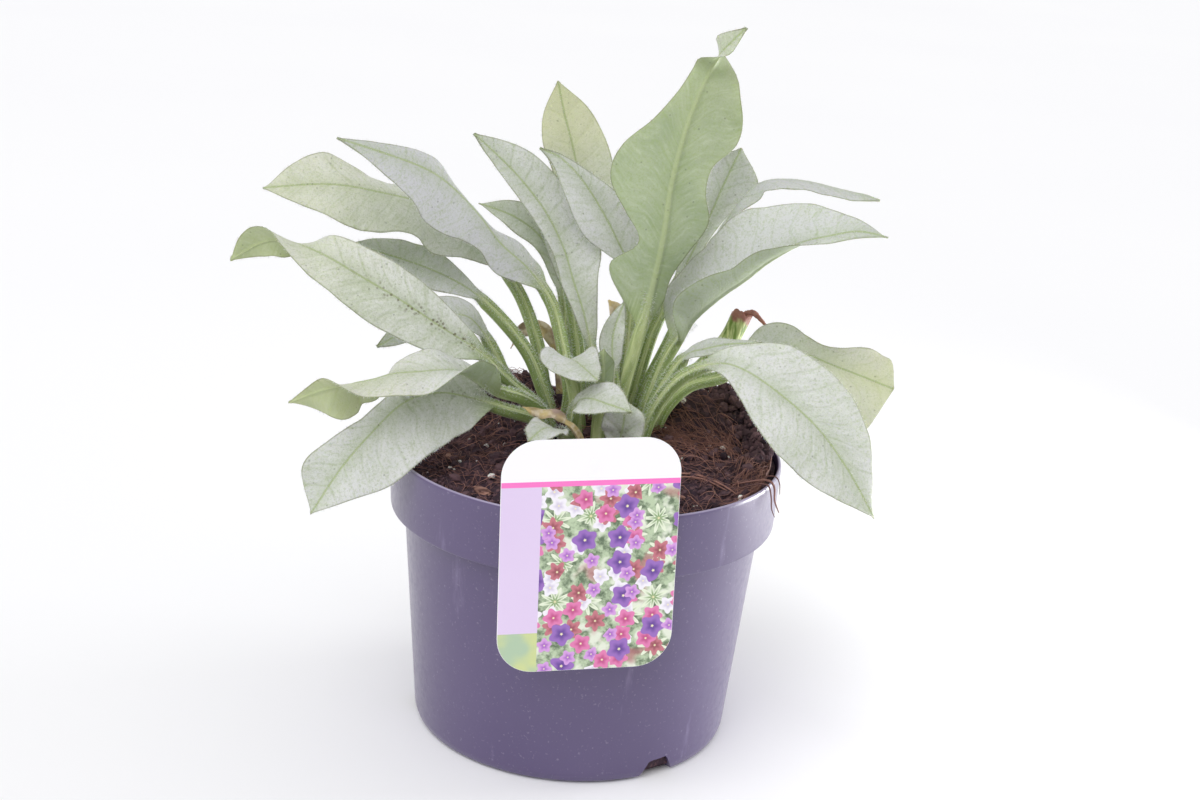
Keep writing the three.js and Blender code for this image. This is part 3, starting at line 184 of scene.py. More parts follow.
# Leaves, as in the frame: the share that is petiole, the midrib from root to tip, the way the upper
# face looks along it, and the half widths and the lifts of the two halves along the blade. A twist
# turns the blade about its midrib by an angle between two shares of the length
Leaf = namedtuple(
    "Leaf", "name stalk spine face left right lift_left lift_right twist petiole ripple steps",
    defaults=(None, PETIOLE_HALF_WIDTH, 1, LONG_LEAF_STEPS),
)
LEAVES = [
    Leaf("leaf_left_long", 0.27, [(-16, 6, 127), (-21, 7, 140), (-34, 0, 153), (-48, -8, 168),
         (-65, -14, 180), (-81, -18, 191), (-98, -21, 201), (-110, -23, 208), (-121, -22, 212),
         (-131, -19, 213.5), (-141, -15, 210), (-154, -9, 201)],
         [(0, -0.4, 1), (0, -0.5, 0.9), (0, -0.8, 0.6), (0, -0.9, 0.5), (0, -0.8, 0.6), (0, -0.8, 0.6)],
         [8, 12, 14, 15, 14, 12, 10, 9.5, 7], [5, 9, 11, 12, 12, 11, 10, 8, 5],
         [5, 5, 5, 5, 5, 5, 0, 0, 0], [15, 10, 5, 0, 0, -10, -50, -50, -10], twist=(120, 0.73, 0.9)),
    Leaf("leaf_left_upper", 0.36, [(-14, 33, 127), (-21, 34, 142), (-25, 36, 160), (-31, 37, 176),
         (-37, 37, 187), (-45, 35, 197), (-58, 31, 210), (-75, 26, 222), (-94, 18, 228), (-116, 9, 232),
         (-143, 2, 230)],
         [(0, -0.3, 1), (0, -0.6, 0.8), (0, -0.8, 0.7), (0, -0.8, 0.7)],
         [5, 11, 18, 17, 16, 18.5, 18.5, 14, 8], [4, 7, 9, 10, 10, 10, 12, 14.5, 9], [-5],
         [10, 10, 0, -20, -40, -10, 15, 15]),
    Leaf("leaf_left_arching", 0.34, [(-11, 13, 127), (-9, 16, 144), (-12, 20, 159), (-16, 24, 173),
         (-21, 26, 185), (-31, 24, 198), (-43, 20, 209), (-53, 13, 223), (-63, 4, 235), (-73, -2, 243),
         (-87, -8, 249), (-110, -13, 256)],
         [(0, -0.6, 0.8), (0.2, -0.8, 0.6), (0.2, -0.8, 0.6), (0.2, -0.9, 0.4)],
         [7, 11, 10, 14, 18.5, 19, 14.5, 9.5, 4], [6, 8, 8, 8, 8, 8.5, 8, 5.5, 3], [-10],
         [0, -30, -30, -80, -110, -90, -50, -30, -20, -10, 0]),
    Leaf("leaf_left_shaded", 0.5, [(-15, 24, 127), (-20, 25, 140), (-28, 26, 158), (-40, 25, 173),
         (-55, 24, 186), (-76, 25, 195), (-109, 26, 203)],
         [(0, -0.2, 1), (0, -0.6, 0.9), (0, -0.7, 0.7)], [5, 8, 9, 9, 8, 5], [4, 7, 9, 9, 9, 6], [0], [10]),
    Leaf("leaf_left_hidden", 0.45, [(-19, 16, 127), (-27, 16, 139), (-37, 15, 150), (-45, 15, 165),
         (-55, 10, 178), (-67, 6, 178), (-79, 4, 173), (-93, 2, 164)],
         [(0, -0.4, 1), (0, -0.6, 0.8), (0, -0.6, 0.8)], [5, 9, 10, 9, 5], [5, 9, 10, 9, 5], [10], [10]),
    Leaf("leaf_left_twisted", 0.31, [(-14, 1, 127), (-19, -2, 141), (-28, -10, 150), (-37, -18, 155),
         (-44, -27, 160), (-51, -34, 166), (-58, -40, 169), (-69, -45, 169), (-79, -50, 169),
         (-88, -54, 167), (-97, -56, 165), (-106, -55, 162), (-121, -51, 154)],
         [(0, -0.3, 1), (0, -0.5, 0.9), (0, -0.65, 0.75)], [9, 11, 13, 14, 14, 12, 9, 6, 3],
         [6, 8, 12, 12, 10, 12, 17, 14, 7], [120, 120, 90, 30, 10, 10, 10, 0, 0],
         [10, 10, 10, 5, 0, -40, -130, -110, -40, -10, 0], twist=(125, 0.77, 0.9)),
    Leaf("leaf_left_over_rim", 0.27, [(-15, -5, 127), (-21, -10, 140), (-36, -19, 147.5), (-50, -25, 153),
         (-63, -31, 156), (-76, -38, 153), (-88, -44, 141), (-99, -48, 127), (-111, -53, 107)],
         [(0, -0.3, 1), (-0.1, -0.6, 0.8), (-0.2, -0.9, 0.5), (-0.3, -0.9, 0.3)], [17, 23, 24, 23, 20, 11],
         [8, 8, 6, 7, 11, 13], [-5], [35, 25]),
    Leaf("leaf_back_left", 0.46, [(-6, 34, 127), (-10, 37, 142), (-13, 40, 162), (-15, 43, 180),
         (-20, 46, 194), (-27, 46, 207), (-39, 44, 216), (-55, 40, 222)],
         [(0, -0.8, 0.6)], [3, 4, 5.5, 6.5, 4.5], [5, 7, 8, 8, 5], [10], [10]),
    Leaf("leaf_back_narrow", 0.5, [(-4, 24, 127), (-5, 27, 142), (-7, 31, 161), (-12, 37, 182),
         (-17, 41, 203), (-23, 42, 219), (-33, 38, 233)],
         [(0, -1, 0.5)], [4, 6, 7, 6, 4], [4, 6, 7, 6, 4], [10], [10]),
    Leaf("leaf_middle_left", 0.23, [(3, 17, 127), (2, 19, 144), (-1, 22, 164), (-6, 25, 181),
         (-11, 28, 193), (-16, 31, 206), (-24, 33, 220), (-33, 34, 231), (-43, 34, 241), (-58, 32, 254)],
         [(0, -1, 0.3), (0.1, -1, 0.4), (0.2, -0.9, 0.5)], [3, 4.5, 5.5, 5.5, 6, 6.5, 6.5, 6, 3.5],
         [4, 7, 11, 15.5, 15.5, 13.5, 12.5, 11, 6.5], [15], [15]),
    Leaf("leaf_middle_right", 0.5, [(12, 18, 127), (14, 20, 146), (15, 26, 173), (14, 30, 197),
         (7, 30, 212), (-2, 29, 227), (-11, 28, 239), (-20, 27, 247), (-29, 25, 251)],
         [(0, -1, 0.2), (0, -1, 0.4), (0.2, -1, 0.4)], [6, 12, 13, 11, 6], [9, 10, 9, 5, 2], [15], [15]),
    Leaf("leaf_back_tall", 0.43, [(1, 31, 127), (-1, 36, 142), (-7, 42, 165), (-6, 48, 207),
         (-14, 52, 242), (-20, 54, 261), (-24, 54, 276)],
         [(0, -1, 0.1)], [3, 8, 10, 11, 12.5, 9], [4, 11, 15, 16, 14, 10], [10], [10]),
    Leaf("leaf_centre_tall", 0.28, [(11, 7, 127), (13, 6, 146), (17, 4, 168), (22, 2, 193), (26, 2, 220),
         (28, 4, 245), (33, 8, 270), (39, 8, 288), (44, 6, 299), (53, 2, 310)],
         [(0, 1, 0.2), (0, 1, 0.2), (0.1, 1, 0.2), (0.2, 1, 0.1), (0.2, 1, 0.1)],
         [6, 7, 12, 18, 15, 15, 22, 21, 14, 7], [13, 20, 10, 18, 27, 25, 15, 9, 7, 5], [15], [15],
         twist=(150, 0.86, 0.95)),
    Leaf("leaf_back_right", 0.49, [(13, 32, 127), (19, 34, 142), (26, 39, 170), (38, 49, 197),
         (47, 54, 219), (53, 56, 236), (59, 55.5, 252)],
         [(0, -1, 0.3)], [4, 6, 8, 10, 11], [4, 4, 6, 10, 14], [0], [0]),
    Leaf("leaf_right_ribbon", 0.44, [(20, 27, 127), (24, 29, 144), (34, 35, 168), (45, 42, 196),
         (54, 45, 219), (61, 45, 232), (70, 45, 240), (85, 42, 242), (102, 39, 240), (120, 36, 237)],
         [(0.1, -0.8, 0.6), (0.1, -0.3, 1), (0.1, -0.1, 1), (0.1, -0.2, 1)], [4, 8, 10, 9, 6],
         [5, 10, 17, 17, 10], [-50], [0]),
    Leaf("leaf_right_arching", 0.31, [(20, 9, 127), (25, 8, 147), (30, 7, 164), (36, 6, 177), (43, 5, 187),
         (52, 3, 197), (62, 1, 206), (71, -1, 215), (83, -4, 224), (95, -8, 229), (106, -10, 232),
         (118, -12, 231)],
         [(-0.1, -0.9, 0.3), (-0.5, -0.5, 0.7), (-0.5, -0.5, 0.7), (-0.3, -0.5, 0.8)],
         [18, 22, 23, 25, 27, 23, 17, 11, 5], [14, 19, 17, 13, 12, 9, 5, 4, 2.5], [35, 35, 30, 25, 20],
         [60, 110, 110, 110, 110, 70, 10, -10, -10]),
    Leaf("leaf_right_over_rim", 0.34, [(22, -4, 127), (27, -8, 147), (37, -18, 166), (51, -27, 176),
         (63, -34, 176), (79, -41, 168), (94, -47, 157), (107, -52, 142), (119, -56, 124)],
         [(0, -0.4, 1), (0.2, -0.7, 0.8), (0.3, -0.8, 0.6), (0.5, -0.8, 0.4)], [9, 19, 22, 21, 16, 9],
         [6, 13, 19, 22, 19, 11], [10], [0]),
    Leaf("leaf_right_rear", 0.44, [(27.5, 12.5, 127), (33, 14, 142), (43, 15, 153), (58, 17, 158),
         (71, 18, 167), (81, 17, 171), (92, 15, 171), (103, 12, 168), (115, 9, 165), (131, 6, 160.5)],
         [(0, -0.4, 1), (0.1, -0.8, 0.8), (0.2, -0.9, 0.6)],
         [6, 9, 12, 13, 12, 9, 7, 7, 8, 10, 12, 13, 13, 12],
         [8, 12, 15, 18, 20, 21, 22, 23, 23.5, 24, 24, 24, 24, 22], [10, 20, 50, 70, 70, 60, 30, 0, 0],
         [-10]),
    Leaf("leaf_right_short", 0.55, [(23, 3, 127), (28, 0, 150), (34, -4, 164), (40, -9, 174),
         (47, -13, 178), (57, -17, 182), (70, -20, 184)],
         [(0, -0.6, 0.8)], [4, 4.5, 4, 3, 2], [4, 4, 3, 2, 1.5], [0], [0]),
    Leaf("leaf_small_forked", 0.52, [(-3, 3, 127), (-5, 5, 140), (-8, 7, 153), (-11, 5, 162),
         (-9, -3, 166), (-5, -13, 167), (3, -24, 164)],
         [(0, 1, 0.2), (0, 1, 0.2), (0, 0.9, 0.5), (0, 0.4, 1), (0, 0, 1), (0, -0.2, 1)], [8, 10.5, 9, 6],
         [10, 16, 15, 9], [35, 45, 20, 0], [40, 25, -10, -20], steps=SMALL_LEAF_STEPS),
    Leaf("leaf_small_pointed", 0.37, [(-3, -5, 127), (-7, -9, 140), (-5, -15, 151), (0, -21, 155),
         (8, -27, 155), (18, -32, 154)],
         [(-1, -0.2, 0.2), (-0.6, -0.6, 0.5), (0, -0.7, 0.7), (0, -0.7, 0.7), (0, -0.7, 0.7)],
         [4, 6, 10, 7], [6, 9, 7, 3], [20], [10], steps=SMALL_LEAF_STEPS),
    Leaf("leaf_small_spotted", 0.2, [(13, -14, 127), (14, -18, 136), (15, -22, 146), (15, -20, 155)],
         [(0, -0.8, 0.7)], [6, 8.5, 9, 7.5], [6, 8.5, 9, 7.5], [10], [10], steps=SMALL_LEAF_STEPS),
    Leaf("leaf_small_upright", 0.5, [(8, 0, 127), (10, -2, 149), (9, 2, 161), (8, 6, 176), (12, 8, 191)],
         [(0, -1, 0.4)], [4, 6, 5, 3], [4, 5, 5, 3], [30], [30], steps=SMALL_LEAF_STEPS),
    Leaf("leaf_small_rolled", 0.47, [(4.5, -7, 127), (4.5, -7, 138), (4.5, -6, 150), (4.5, -6, 160),
         (4.5, -7, 173)],
         [(0, 0.9, 0.4), (0, 1, 0.2), (0, 1, 0.1)], [4.2, 5, 5, 4.5], [4.2, 5, 5, 4.5], [20], [20],
         steps=SMALL_LEAF_STEPS),
    Leaf("leaf_small_front", 0.4, [(-8, -9, 127), (-9, -12, 135), (-12, -21, 140), (-18, -29, 143),
         (-24, -38, 140)],
         [(0.3, 1, 0.3), (0, 0.4, 1), (0, -0.2, 1), (0, -0.4, 0.9)], [6, 9, 8.5, 5], [6, 8, 7, 5], [10],
         [10], steps=SMALL_LEAF_STEPS),
]

# Withered scraps, made the same way
DEAD_LEAVES = [
    Leaf("dead_leaf_front", 0.42, [(-2, -13, 127), (-3, -17, 136), (-7, -19, 142), (-14, -21, 147),
         (-21, -21, 147), (-28, -20, 149)],
         [(0, -0.6, 0.8), (0, -0.8, 0.6), (0, -1, 0.4)], [1.8, 2.2, 1.8], [1.8, 2.2, 1.8], [30], [-30],
         petiole=1.2, ripple=2, steps=SMALL_LEAF_STEPS),
    Leaf("dead_leaf_back", 0.4, [(-13, 39, 127), (-15, 44, 142), (-18, 46, 156), (-24, 47, 165),
         (-33, 47, 163), (-38, 45, 155)],
         [(0, -0.9, 0.4), (0, -0.8, 0.6)], [1.5, 3.5, 4, 2.5], [1.5, 3, 3.5, 2], [50], [40], petiole=1.2,
         ripple=2, steps=SMALL_LEAF_STEPS),
    Leaf("dead_leaf_tip", 0.7, [(5, 10, 127), (6, 11, 146), (8, 13, 164), (10, 14, 176), (9, 14, 184),
         (5, 14, 189)],
         [(0, -1, 0.3)], [1.5, 3, 3], [1.5, 3, 3], [15], [15], petiole=1.2, ripple=1,
         steps=SMALL_LEAF_STEPS),
]

# What each leaf shows: grey of its felt, partly painted shade on leaves that stand in shade such as
# leaf_left_arching and leaf_left_shaded, yellowing of its tip, brown spots along its rib. The last two grow
# between two shares of its length
USUAL_GREY = 0.35
YELLOW_SPAN = (0.45, 1.0)
SPOT_SPAN = (0.72, 0.5)
LEAF_TONES = {
    "leaf_left_arching": {"grey": 0.9},
    "leaf_left_shaded": {"grey": 0.8},
    "leaf_left_hidden": {"grey": 0.7},
    "leaf_left_long": {"spots": 1.0, "yellow": 0.3, "grey": 0.0},
    "leaf_left_upper": {"yellow": 0.3, "grey": 0.15},
    "leaf_left_twisted": {"yellow": 0.5},
    "leaf_left_over_rim": {"spots": 0.5},
    "leaf_back_tall": {"yellow": 0.7, "grey": 0.5},
    "leaf_centre_tall": {"yellow": 0.15, "grey": 0.2},
    "leaf_right_rear": {"yellow": 0.55, "grey": 0.7},
    "leaf_back_right": {"grey": 0.6},
    "leaf_middle_right": {"grey": 0.5},
    "leaf_right_ribbon": {"grey": 0.8},
    "leaf_right_arching": {"grey": 0.8},
    "leaf_right_short": {"grey": 0.8},
    "leaf_small_spotted": {"spots": 0.8},
    "leaf_small_pointed": {"spots": 0.6},
    "leaf_small_front": {"spots": 0.7, "grey": 0.4},
}


# Small tools

def srgb(red, green, blue):
    """A colour given in 0 to 255 display values, as the linear RGBA that sockets take."""
    def linear(value):
        share = value / 255
        return share / 12.92 if share <= 0.04045 else ((share + 0.055) / 1.055) ** 2.4
    return (linear(red), linear(green), linear(blue), 1.0)


def read_smoothly(values, shares):
    """Values spread evenly over 0 to 1, read along a smooth curve through them."""
    knots = np.asarray(values, float)
    if knots.ndim == 1:
        knots = knots[:, None]
    if len(knots) == 1:
        return np.repeat(knots, len(shares), axis=0)
    knots = np.vstack([2 * knots[0] - knots[1], knots, 2 * knots[-1] - knots[-2]])
    spans = len(knots) - 3
    at = np.clip(shares, 0, 1) * spans
    first = np.minimum(at.astype(int), spans - 1)
    u = (at - first)[:, None]
    before, start, end, after = (knots[first + k] for k in range(4))
    leave = (end - before) / 2
    arrive = (after - start) / 2
    return (start + u * leave + u ** 2 * (3 * (end - start) - 2 * leave - arrive)
            + u ** 3 * (2 * (start - end) + leave + arrive))


def unit(vectors):
    return vectors / np.maximum(np.linalg.norm(vectors, axis=-1, keepdims=True), 1e-9)


def evenly_along(points):
    """A function that gives the place at a share of the smooth line's length, and that length."""
    spread = np.linspace(0, 1, 401)
    steps = np.linalg.norm(np.diff(read_smoothly(points, spread), axis=0), axis=1)
    run = np.concatenate([[0], np.cumsum(steps)])
    return lambda share: read_smoothly(points, np.interp(share * run[-1], run, spread)), run[-1]


def smooth_step(low, high, values):
    share = np.clip((values - low) / (high - low), 0, 1)
    return share * share * (3 - 2 * share)


NOISE_TABLE = np.random.default_rng(SEEDS["noise"]).random((64, 64, 8)) * 2 - 1


def smooth_noise(x, y, layer=0):
    """Smooth random values between -1 and 1 over a plane, with a hill or a dip for each unit."""
    x0, y0 = np.floor(x).astype(int), np.floor(y).astype(int)
    u, v = smooth_step(0, 1, x - x0), smooth_step(0, 1, y - y0)
    table = NOISE_TABLE[:, :, layer]
    near = table[x0 % 64, y0 % 64] * (1 - u) + table[(x0 + 1) % 64, y0 % 64] * u
    far = table[x0 % 64, (y0 + 1) % 64] * (1 - u) + table[(x0 + 1) % 64, (y0 + 1) % 64] * u
    return near * (1 - v) + far * v


def mesh_piece(name, points, faces, materials=(), face_slots=None, attributes=None, smooth=True):
    """A mesh object from points in mm and groups of faces with equal corner counts."""
    mesh = bpy.data.meshes.new(name)
    points = np.asarray(points, float).reshape(-1, 3) * MM
    corners = np.concatenate([np.asarray(group).ravel() for group in faces]).astype(np.int32)
    counts = np.concatenate([np.full(len(group), np.shape(group)[1]) for group in faces])
    mesh.vertices.add(len(points))
    mesh.vertices.foreach_set("co", points.ravel())
    mesh.loops.add(len(corners))
    mesh.loops.foreach_set("vertex_index", corners)
    mesh.polygons.add(len(counts))
    mesh.polygons.foreach_set("loop_start", (np.cumsum(counts) - counts).astype(np.int32))
    for material in materials:
        mesh.materials.append(material)
    if face_slots is not None:
        slots = np.concatenate([np.full(len(group), slot) for group, slot in zip(faces, face_slots)])
        mesh.polygons.foreach_set("material_index", slots.astype(np.int32))
    mesh.polygons.foreach_set("use_smooth", np.full(len(counts), smooth))
    for key, values in (attributes or {}).items():
        set_attribute(mesh, key, values)
    mesh.update(calc_edges=True)
    return add_object(name, mesh)


def set_attribute(mesh, name, values):
    """A number or a vector for each point of the mesh, which its material reads."""
    values = np.asarray(values, float)
    kind, field = ("FLOAT_VECTOR", "vector") if values.ndim == 2 else ("FLOAT", "value")
    mesh.attributes.new(name, kind, "POINT").data.foreach_set(field, values.ravel())


def set_materials(mesh, *materials):
    mesh.materials.clear()
    for material in materials:
        mesh.materials.append(material)


def add_object(name, data):
    thing = bpy.data.objects.new(name, data)
    bpy.context.scene.collection.objects.link(thing)
    return thing


def place_piece(piece, slot, *nodes):
    """The piece rides on the object and stands for the frame's nodes, which are hidden. Its slot is not used.
    """
    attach(piece, "root")
    if nodes:
        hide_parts(*nodes)


def grid_faces(rows, columns, wrap=False):
    """Quads of a grid of points, turned so that column x row points outwards."""
    across = columns if wrap else columns - 1
    row, column = np.meshgrid(np.arange(rows - 1), np.arange(across), indexing="ij")
    start, column = row.ravel() * columns, column.ravel()
    follow, above = (column + 1) % columns, start + columns
    return np.stack([start + column, start + follow, above + follow, above + column], axis=1)


def tube_faces(rows, sides):
    """Quads round a tube of rings, and one many-sided face over either end."""
    end = np.arange(sides)[None]
    return [grid_faces(rows, sides, wrap=True), end[:, ::-1], end + (rows - 1) * sides]


def fanned_tube(rings, first, last):
    """Points and faces of a tube of rings, closed by a fan round a middle point at either end."""
    rows, sides = rings.shape[:2]
    points = np.concatenate([rings.reshape(-1, 3), [first, last]])
    column = np.arange(sides)
    follow, far = (column + 1) % sides, (rows - 1) * sides
    start = np.stack([follow, column, np.full(sides, rows * sides)], axis=1)
    end = np.stack([column + far, follow + far, np.full(sides, rows * sides + 1)], axis=1)
    return points, [grid_faces(rows, sides, wrap=True), start, end]


def two_across(directions):
    """Two unit vectors at right angles to each direction and to each other."""
    helper = np.where(np.abs(directions[:, 2:]) < 0.9, [[0.0, 0.0, 1.0]], [[1.0, 0.0, 0.0]])
    first = unit(np.cross(directions, helper))
    return first, np.cross(directions, first)


def turn_about_z(angle):
    """The matrix that turns points, given as rows, about Z by an angle in radians."""
    c, s = math.cos(angle), math.sin(angle)
    return np.array([[c, s, 0], [-s, c, 0], [0, 0, 1]])


# Materials

class Surface:
    """A material under construction: short calls that add nodes and wire them up."""

    def __init__(self, name, roughness=0.6, **constants):
        self.material = bpy.data.materials.new(name)
        self.material.use_nodes = True
        self.tree = self.material.node_tree
        self.shader = self.tree.nodes["Principled BSDF"]
        self.shader.inputs["Roughness"].default_value = roughness
        for socket, value in constants.items():
            self.shader.inputs[socket.replace("_", " ")].default_value = value
        self.place = self.node("ShaderNodeTexCoord").outputs["Object"]

    def node(self, kind, inputs=(), **settings):
        node = self.tree.nodes.new(kind)
        for key, value in settings.items():
            setattr(node, key, value)
        for key, value in dict(inputs).items():
            self.feed(node.inputs[key], value)
        return node

    def feed(self, socket, value):
        if isinstance(value, bpy.types.NodeSocket):
            self.tree.links.new(value, socket)
        else:
            socket.default_value = value

    def maths(self, operation, first, second=0.0):
        return self.node("ShaderNodeMath", {0: first, 1: second}, operation=operation).outputs[0]

    def times(self, first, second):
        return self.maths("MULTIPLY", first, second)

    def plus(self, first, second):
        return self.maths("ADD", first, second)

    def ramp(self, value, low, high, start=0.0, end=1.0):
        """The value taken smoothly from low..high to start..end."""
        inputs = {"Value": value, "From Min": low, "From Max": high, "To Min": start, "To Max": end}
        return self.node("ShaderNodeMapRange", inputs, interpolation_type="SMOOTHSTEP").outputs["Result"]

    def mix(self, share, first, second):
        """One colour laid over the other by a share."""
        return self.node("ShaderNodeMix", {0: share, 6: first, 7: second}, data_type="RGBA").outputs[2]

    def noise(self, per_metre, detail=2.0, vector=None, roughness=0.5):
        place = vector or self.place
        inputs = {"Vector": place, "Scale": per_metre, "Detail": detail, "Roughness": roughness}
        return self.node("ShaderNodeTexNoise", inputs).outputs["Fac"]

    def cells(self, per_metre, vector=None, **settings):
        inputs = {"Vector": vector or self.place, "Scale": per_metre}
        return self.node("ShaderNodeTexVoronoi", inputs, **settings)

    def stretched(self, x, y, z, vector=None):
        inputs = {0: vector or self.place, 1: (x, y, z)}
        return self.node("ShaderNodeVectorMath", inputs, operation="MULTIPLY").outputs[0]

    def attribute(self, name, output="Fac"):
        return self.node("ShaderNodeAttribute", attribute_name=name).outputs[output]

    def vector(self, x, y, z=0.0):
        return self.node("ShaderNodeCombineXYZ", {0: x, 1: y, 2: z}).outputs[0]

    def split(self, vector):
        return self.node("ShaderNodeSeparateXYZ", {0: vector}).outputs

    def colour(self, value):
        self.feed(self.shader.inputs["Base Color"], value)

    def bump(self, height, depth_mm, strength=1.0):
        inputs = {"Height": height, "Distance": depth_mm * MM, "Strength": strength}
        normal = self.node("ShaderNodeBump", inputs).outputs["Normal"]
        self.feed(self.shader.inputs["Normal"], normal)


def leaf_surface(name, upper):
    """Felted silver upper face or green underside, read from the leaf's own measures."""
    s = Surface(name, 0.62 if upper else 0.5, Sheen_Weight=0.3 if upper else 0.12, Sheen_Roughness=0.45,
                Specular_IOR_Level=0.35, Subsurface_Weight=0.15, Subsurface_Scale=0.002)
    s.shader.inputs["Subsurface Radius"].default_value = (0.8, 1.0, 0.4)
    across, along, margin = s.split(s.attribute("leaf_place", "Vector"))
    blade, grey, yellow = s.split(s.attribute("leaf_tone", "Vector"))
    spots, veins = s.attribute("leaf_spots"), s.attribute("leaf_vein")
    out = s.maths("ABSOLUTE", across)
    cloud, fleck, grain = s.noise(45, 3), s.noise(900, 4, roughness=0.7), s.noise(1700, 2, roughness=0.7)
    streak = s.noise(0.7, 4, s.vector(s.times(veins, 7.0), s.times(across, 0.22), s.times(along, 0.04)), 0.6)

    # The felt, the zone along the midrib, the midrib and the petiole
    if upper:
        base = s.mix(s.ramp(cloud, 0.3, 0.7), srgb(196, 201, 188), srgb(216, 218, 214))
        base = s.mix(s.ramp(streak, 0.45, 0.72, 0.0, 0.42), base, srgb(232, 233, 232))
        # Grey of the felt, which is partly painted shade on leaves that stand in shade
        base = s.mix(grey, base, srgb(196, 196, 202))
        green, line = srgb(150, 165, 118), srgb(156, 172, 112)
        zone, rib = s.ramp(out, 0.5, 7.0, 0.26, 0.0), s.ramp(out, 0.15, 0.75, 0.65, 0.0)
        # Lighter along the petiole's middle and darker to its sides: partly its own colour, partly painted
        # highlight and painted shade across the stalk
        petiole = s.mix(s.ramp(out, 0.4, 2.0), srgb(204, 214, 160), srgb(158, 176, 116))
    else:
        base = s.mix(s.ramp(cloud, 0.3, 0.7), srgb(140, 156, 120), srgb(166, 178, 146))
        base = s.mix(s.ramp(streak, 0.45, 0.75, 0.0, 0.5), base, srgb(192, 201, 176))
        # Grey of the underside, which is partly painted shade on leaves that stand in shade
        base = s.mix(grey, base, srgb(164, 172, 156))
        green, line = srgb(140, 158, 100), srgb(176, 188, 138)
        zone, rib = s.ramp(out, 1.0, 9.0, 0.25, 0.0), s.ramp(out, 0.5, 1.5, 0.45, 0.0)
        # Lighter along the petiole's middle and darker to its sides: partly its own colour, partly painted
        # highlight and painted shade across the stalk
        petiole = s.mix(s.ramp(out, 0.6, 2.2), srgb(190, 202, 146), srgb(150, 168, 106))
    # Dark and pale streaks along the petiole: partly its own colour, partly painted highlight and painted
    # shade
    stripes = s.noise(1.0, 3, s.vector(s.times(across, 1.3), s.times(along, 0.05)))
    petiole = s.mix(s.ramp(stripes, 0.4, 0.66, 0.0, 0.6), petiole, srgb(108, 132, 66))
    petiole = s.mix(s.ramp(stripes, 0.45, 0.3, 0.0, 0.5), petiole, srgb(216, 222, 188))

    # Green that shows through the felt, the veins and the yellowed tip
    vein = s.maths("ABSOLUTE", s.maths("SUBTRACT", s.maths("FRACT", veins), 0.5))
    vein = s.ramp(vein, 0.0, 0.09, 0.2, 0.0)
    thin = s.times(s.ramp(streak, 0.5, 0.3, 0.0, 0.36), s.ramp(fleck, 0.35, 0.6))
    for share in (s.ramp(fleck, 0.47, 0.66, 0.0, 0.36), thin, zone, vein):
        base = s.mix(share, base, green)
    base = s.mix(s.times(yellow, s.ramp(cloud, 0.3, 0.6, 0.6, 1.0)), base, srgb(204, 205, 158))
    base = s.mix(rib, base, line)

    # Fine dark grain and dots, brown spots along the midrib, and a darker margin
    base = s.mix(s.ramp(grain, 0.54, 0.7, 0.0, 0.3 if upper else 0.15), base, srgb(122, 130, 98))
    dots = s.cells(480)
    picked = s.maths("GREATER_THAN", s.split(dots.outputs["Color"])[0], 0.9)
    dot = s.times(s.ramp(dots.outputs["Distance"], 0.1, 0.28, 0.45, 0.0), picked)
    base = s.mix(dot, base, srgb(92, 96, 78))
    blotch = s.cells(700)
    chosen = s.times(spots, s.ramp(s.split(blotch.outputs["Color"])[1], 0.4, 0.6))
    brown = s.times(s.ramp(blotch.outputs["Distance"], 0.25, 0.6, 0.8, 0.0), chosen)
    near_rib = s.times(brown, s.ramp(out, 0.8, 4.5, 1.0, 0.1))
    base = s.mix(s.times(near_rib, s.ramp(s.noise(140, 2), 0.34, 0.52)), base, srgb(98, 90, 66))
    edge = s.times(s.ramp(margin, 0.1, 0.6, 0.55, 0.0), s.ramp(s.noise(80, 2), 0.3, 0.6, 0.35, 1.0))
    base = s.mix(edge, base, srgb(112, 114, 82))
    s.colour(s.mix(blade, petiole, base))

    felt = s.plus(s.times(s.noise(1500, 2), 0.5), s.times(vein, -0.9 if upper else 0.9))
    felt = s.plus(felt, s.times(streak, 0.8))
    s.bump(s.plus(felt, s.times(s.noise(260, 3), 0.5)), 0.25, 0.8)
    return s.material


def hair_surface():
    s = Surface("leaf_hair", 0.5, Subsurface_Weight=0.2, Subsurface_Scale=0.001)
    s.colour(s.mix(s.noise(300), srgb(226, 228, 220), srgb(244, 244, 242)))
    return s.material


def dry_surface():
    s = Surface("dry_leaf", 0.75, Sheen_Weight=0.1)
    base = s.mix(s.ramp(s.noise(90, 4), 0.38, 0.62), srgb(190, 170, 118), srgb(158, 136, 124))
    base = s.mix(s.ramp(s.noise(260, 4), 0.45, 0.65), base, srgb(206, 192, 168))
    s.colour(base)
    s.bump(s.noise(500, 4), 0.5)
    return s.material


def stalk_surface():
    s = Surface("cut_stalk", 0.55, Subsurface_Weight=0.1, Subsurface_Scale=0.002)
    length = s.attribute("stem_share")
    ribs = s.noise(90, 3, s.stretched(7.0, 7.0, 0.5))
    green = s.mix(s.ramp(ribs, 0.35, 0.65), srgb(112, 138, 60), srgb(200, 208, 146))
    torn = s.mix(s.noise(240, 3), srgb(130, 78, 70), srgb(178, 128, 112))
    edge = s.plus(length, s.times(s.noise(160, 3), 0.10))
    s.colour(s.mix(s.ramp(edge, 0.995, 1.03), green, torn))
    s.bump(s.plus(ribs, s.noise(700, 2)), 0.3)
    return s.material


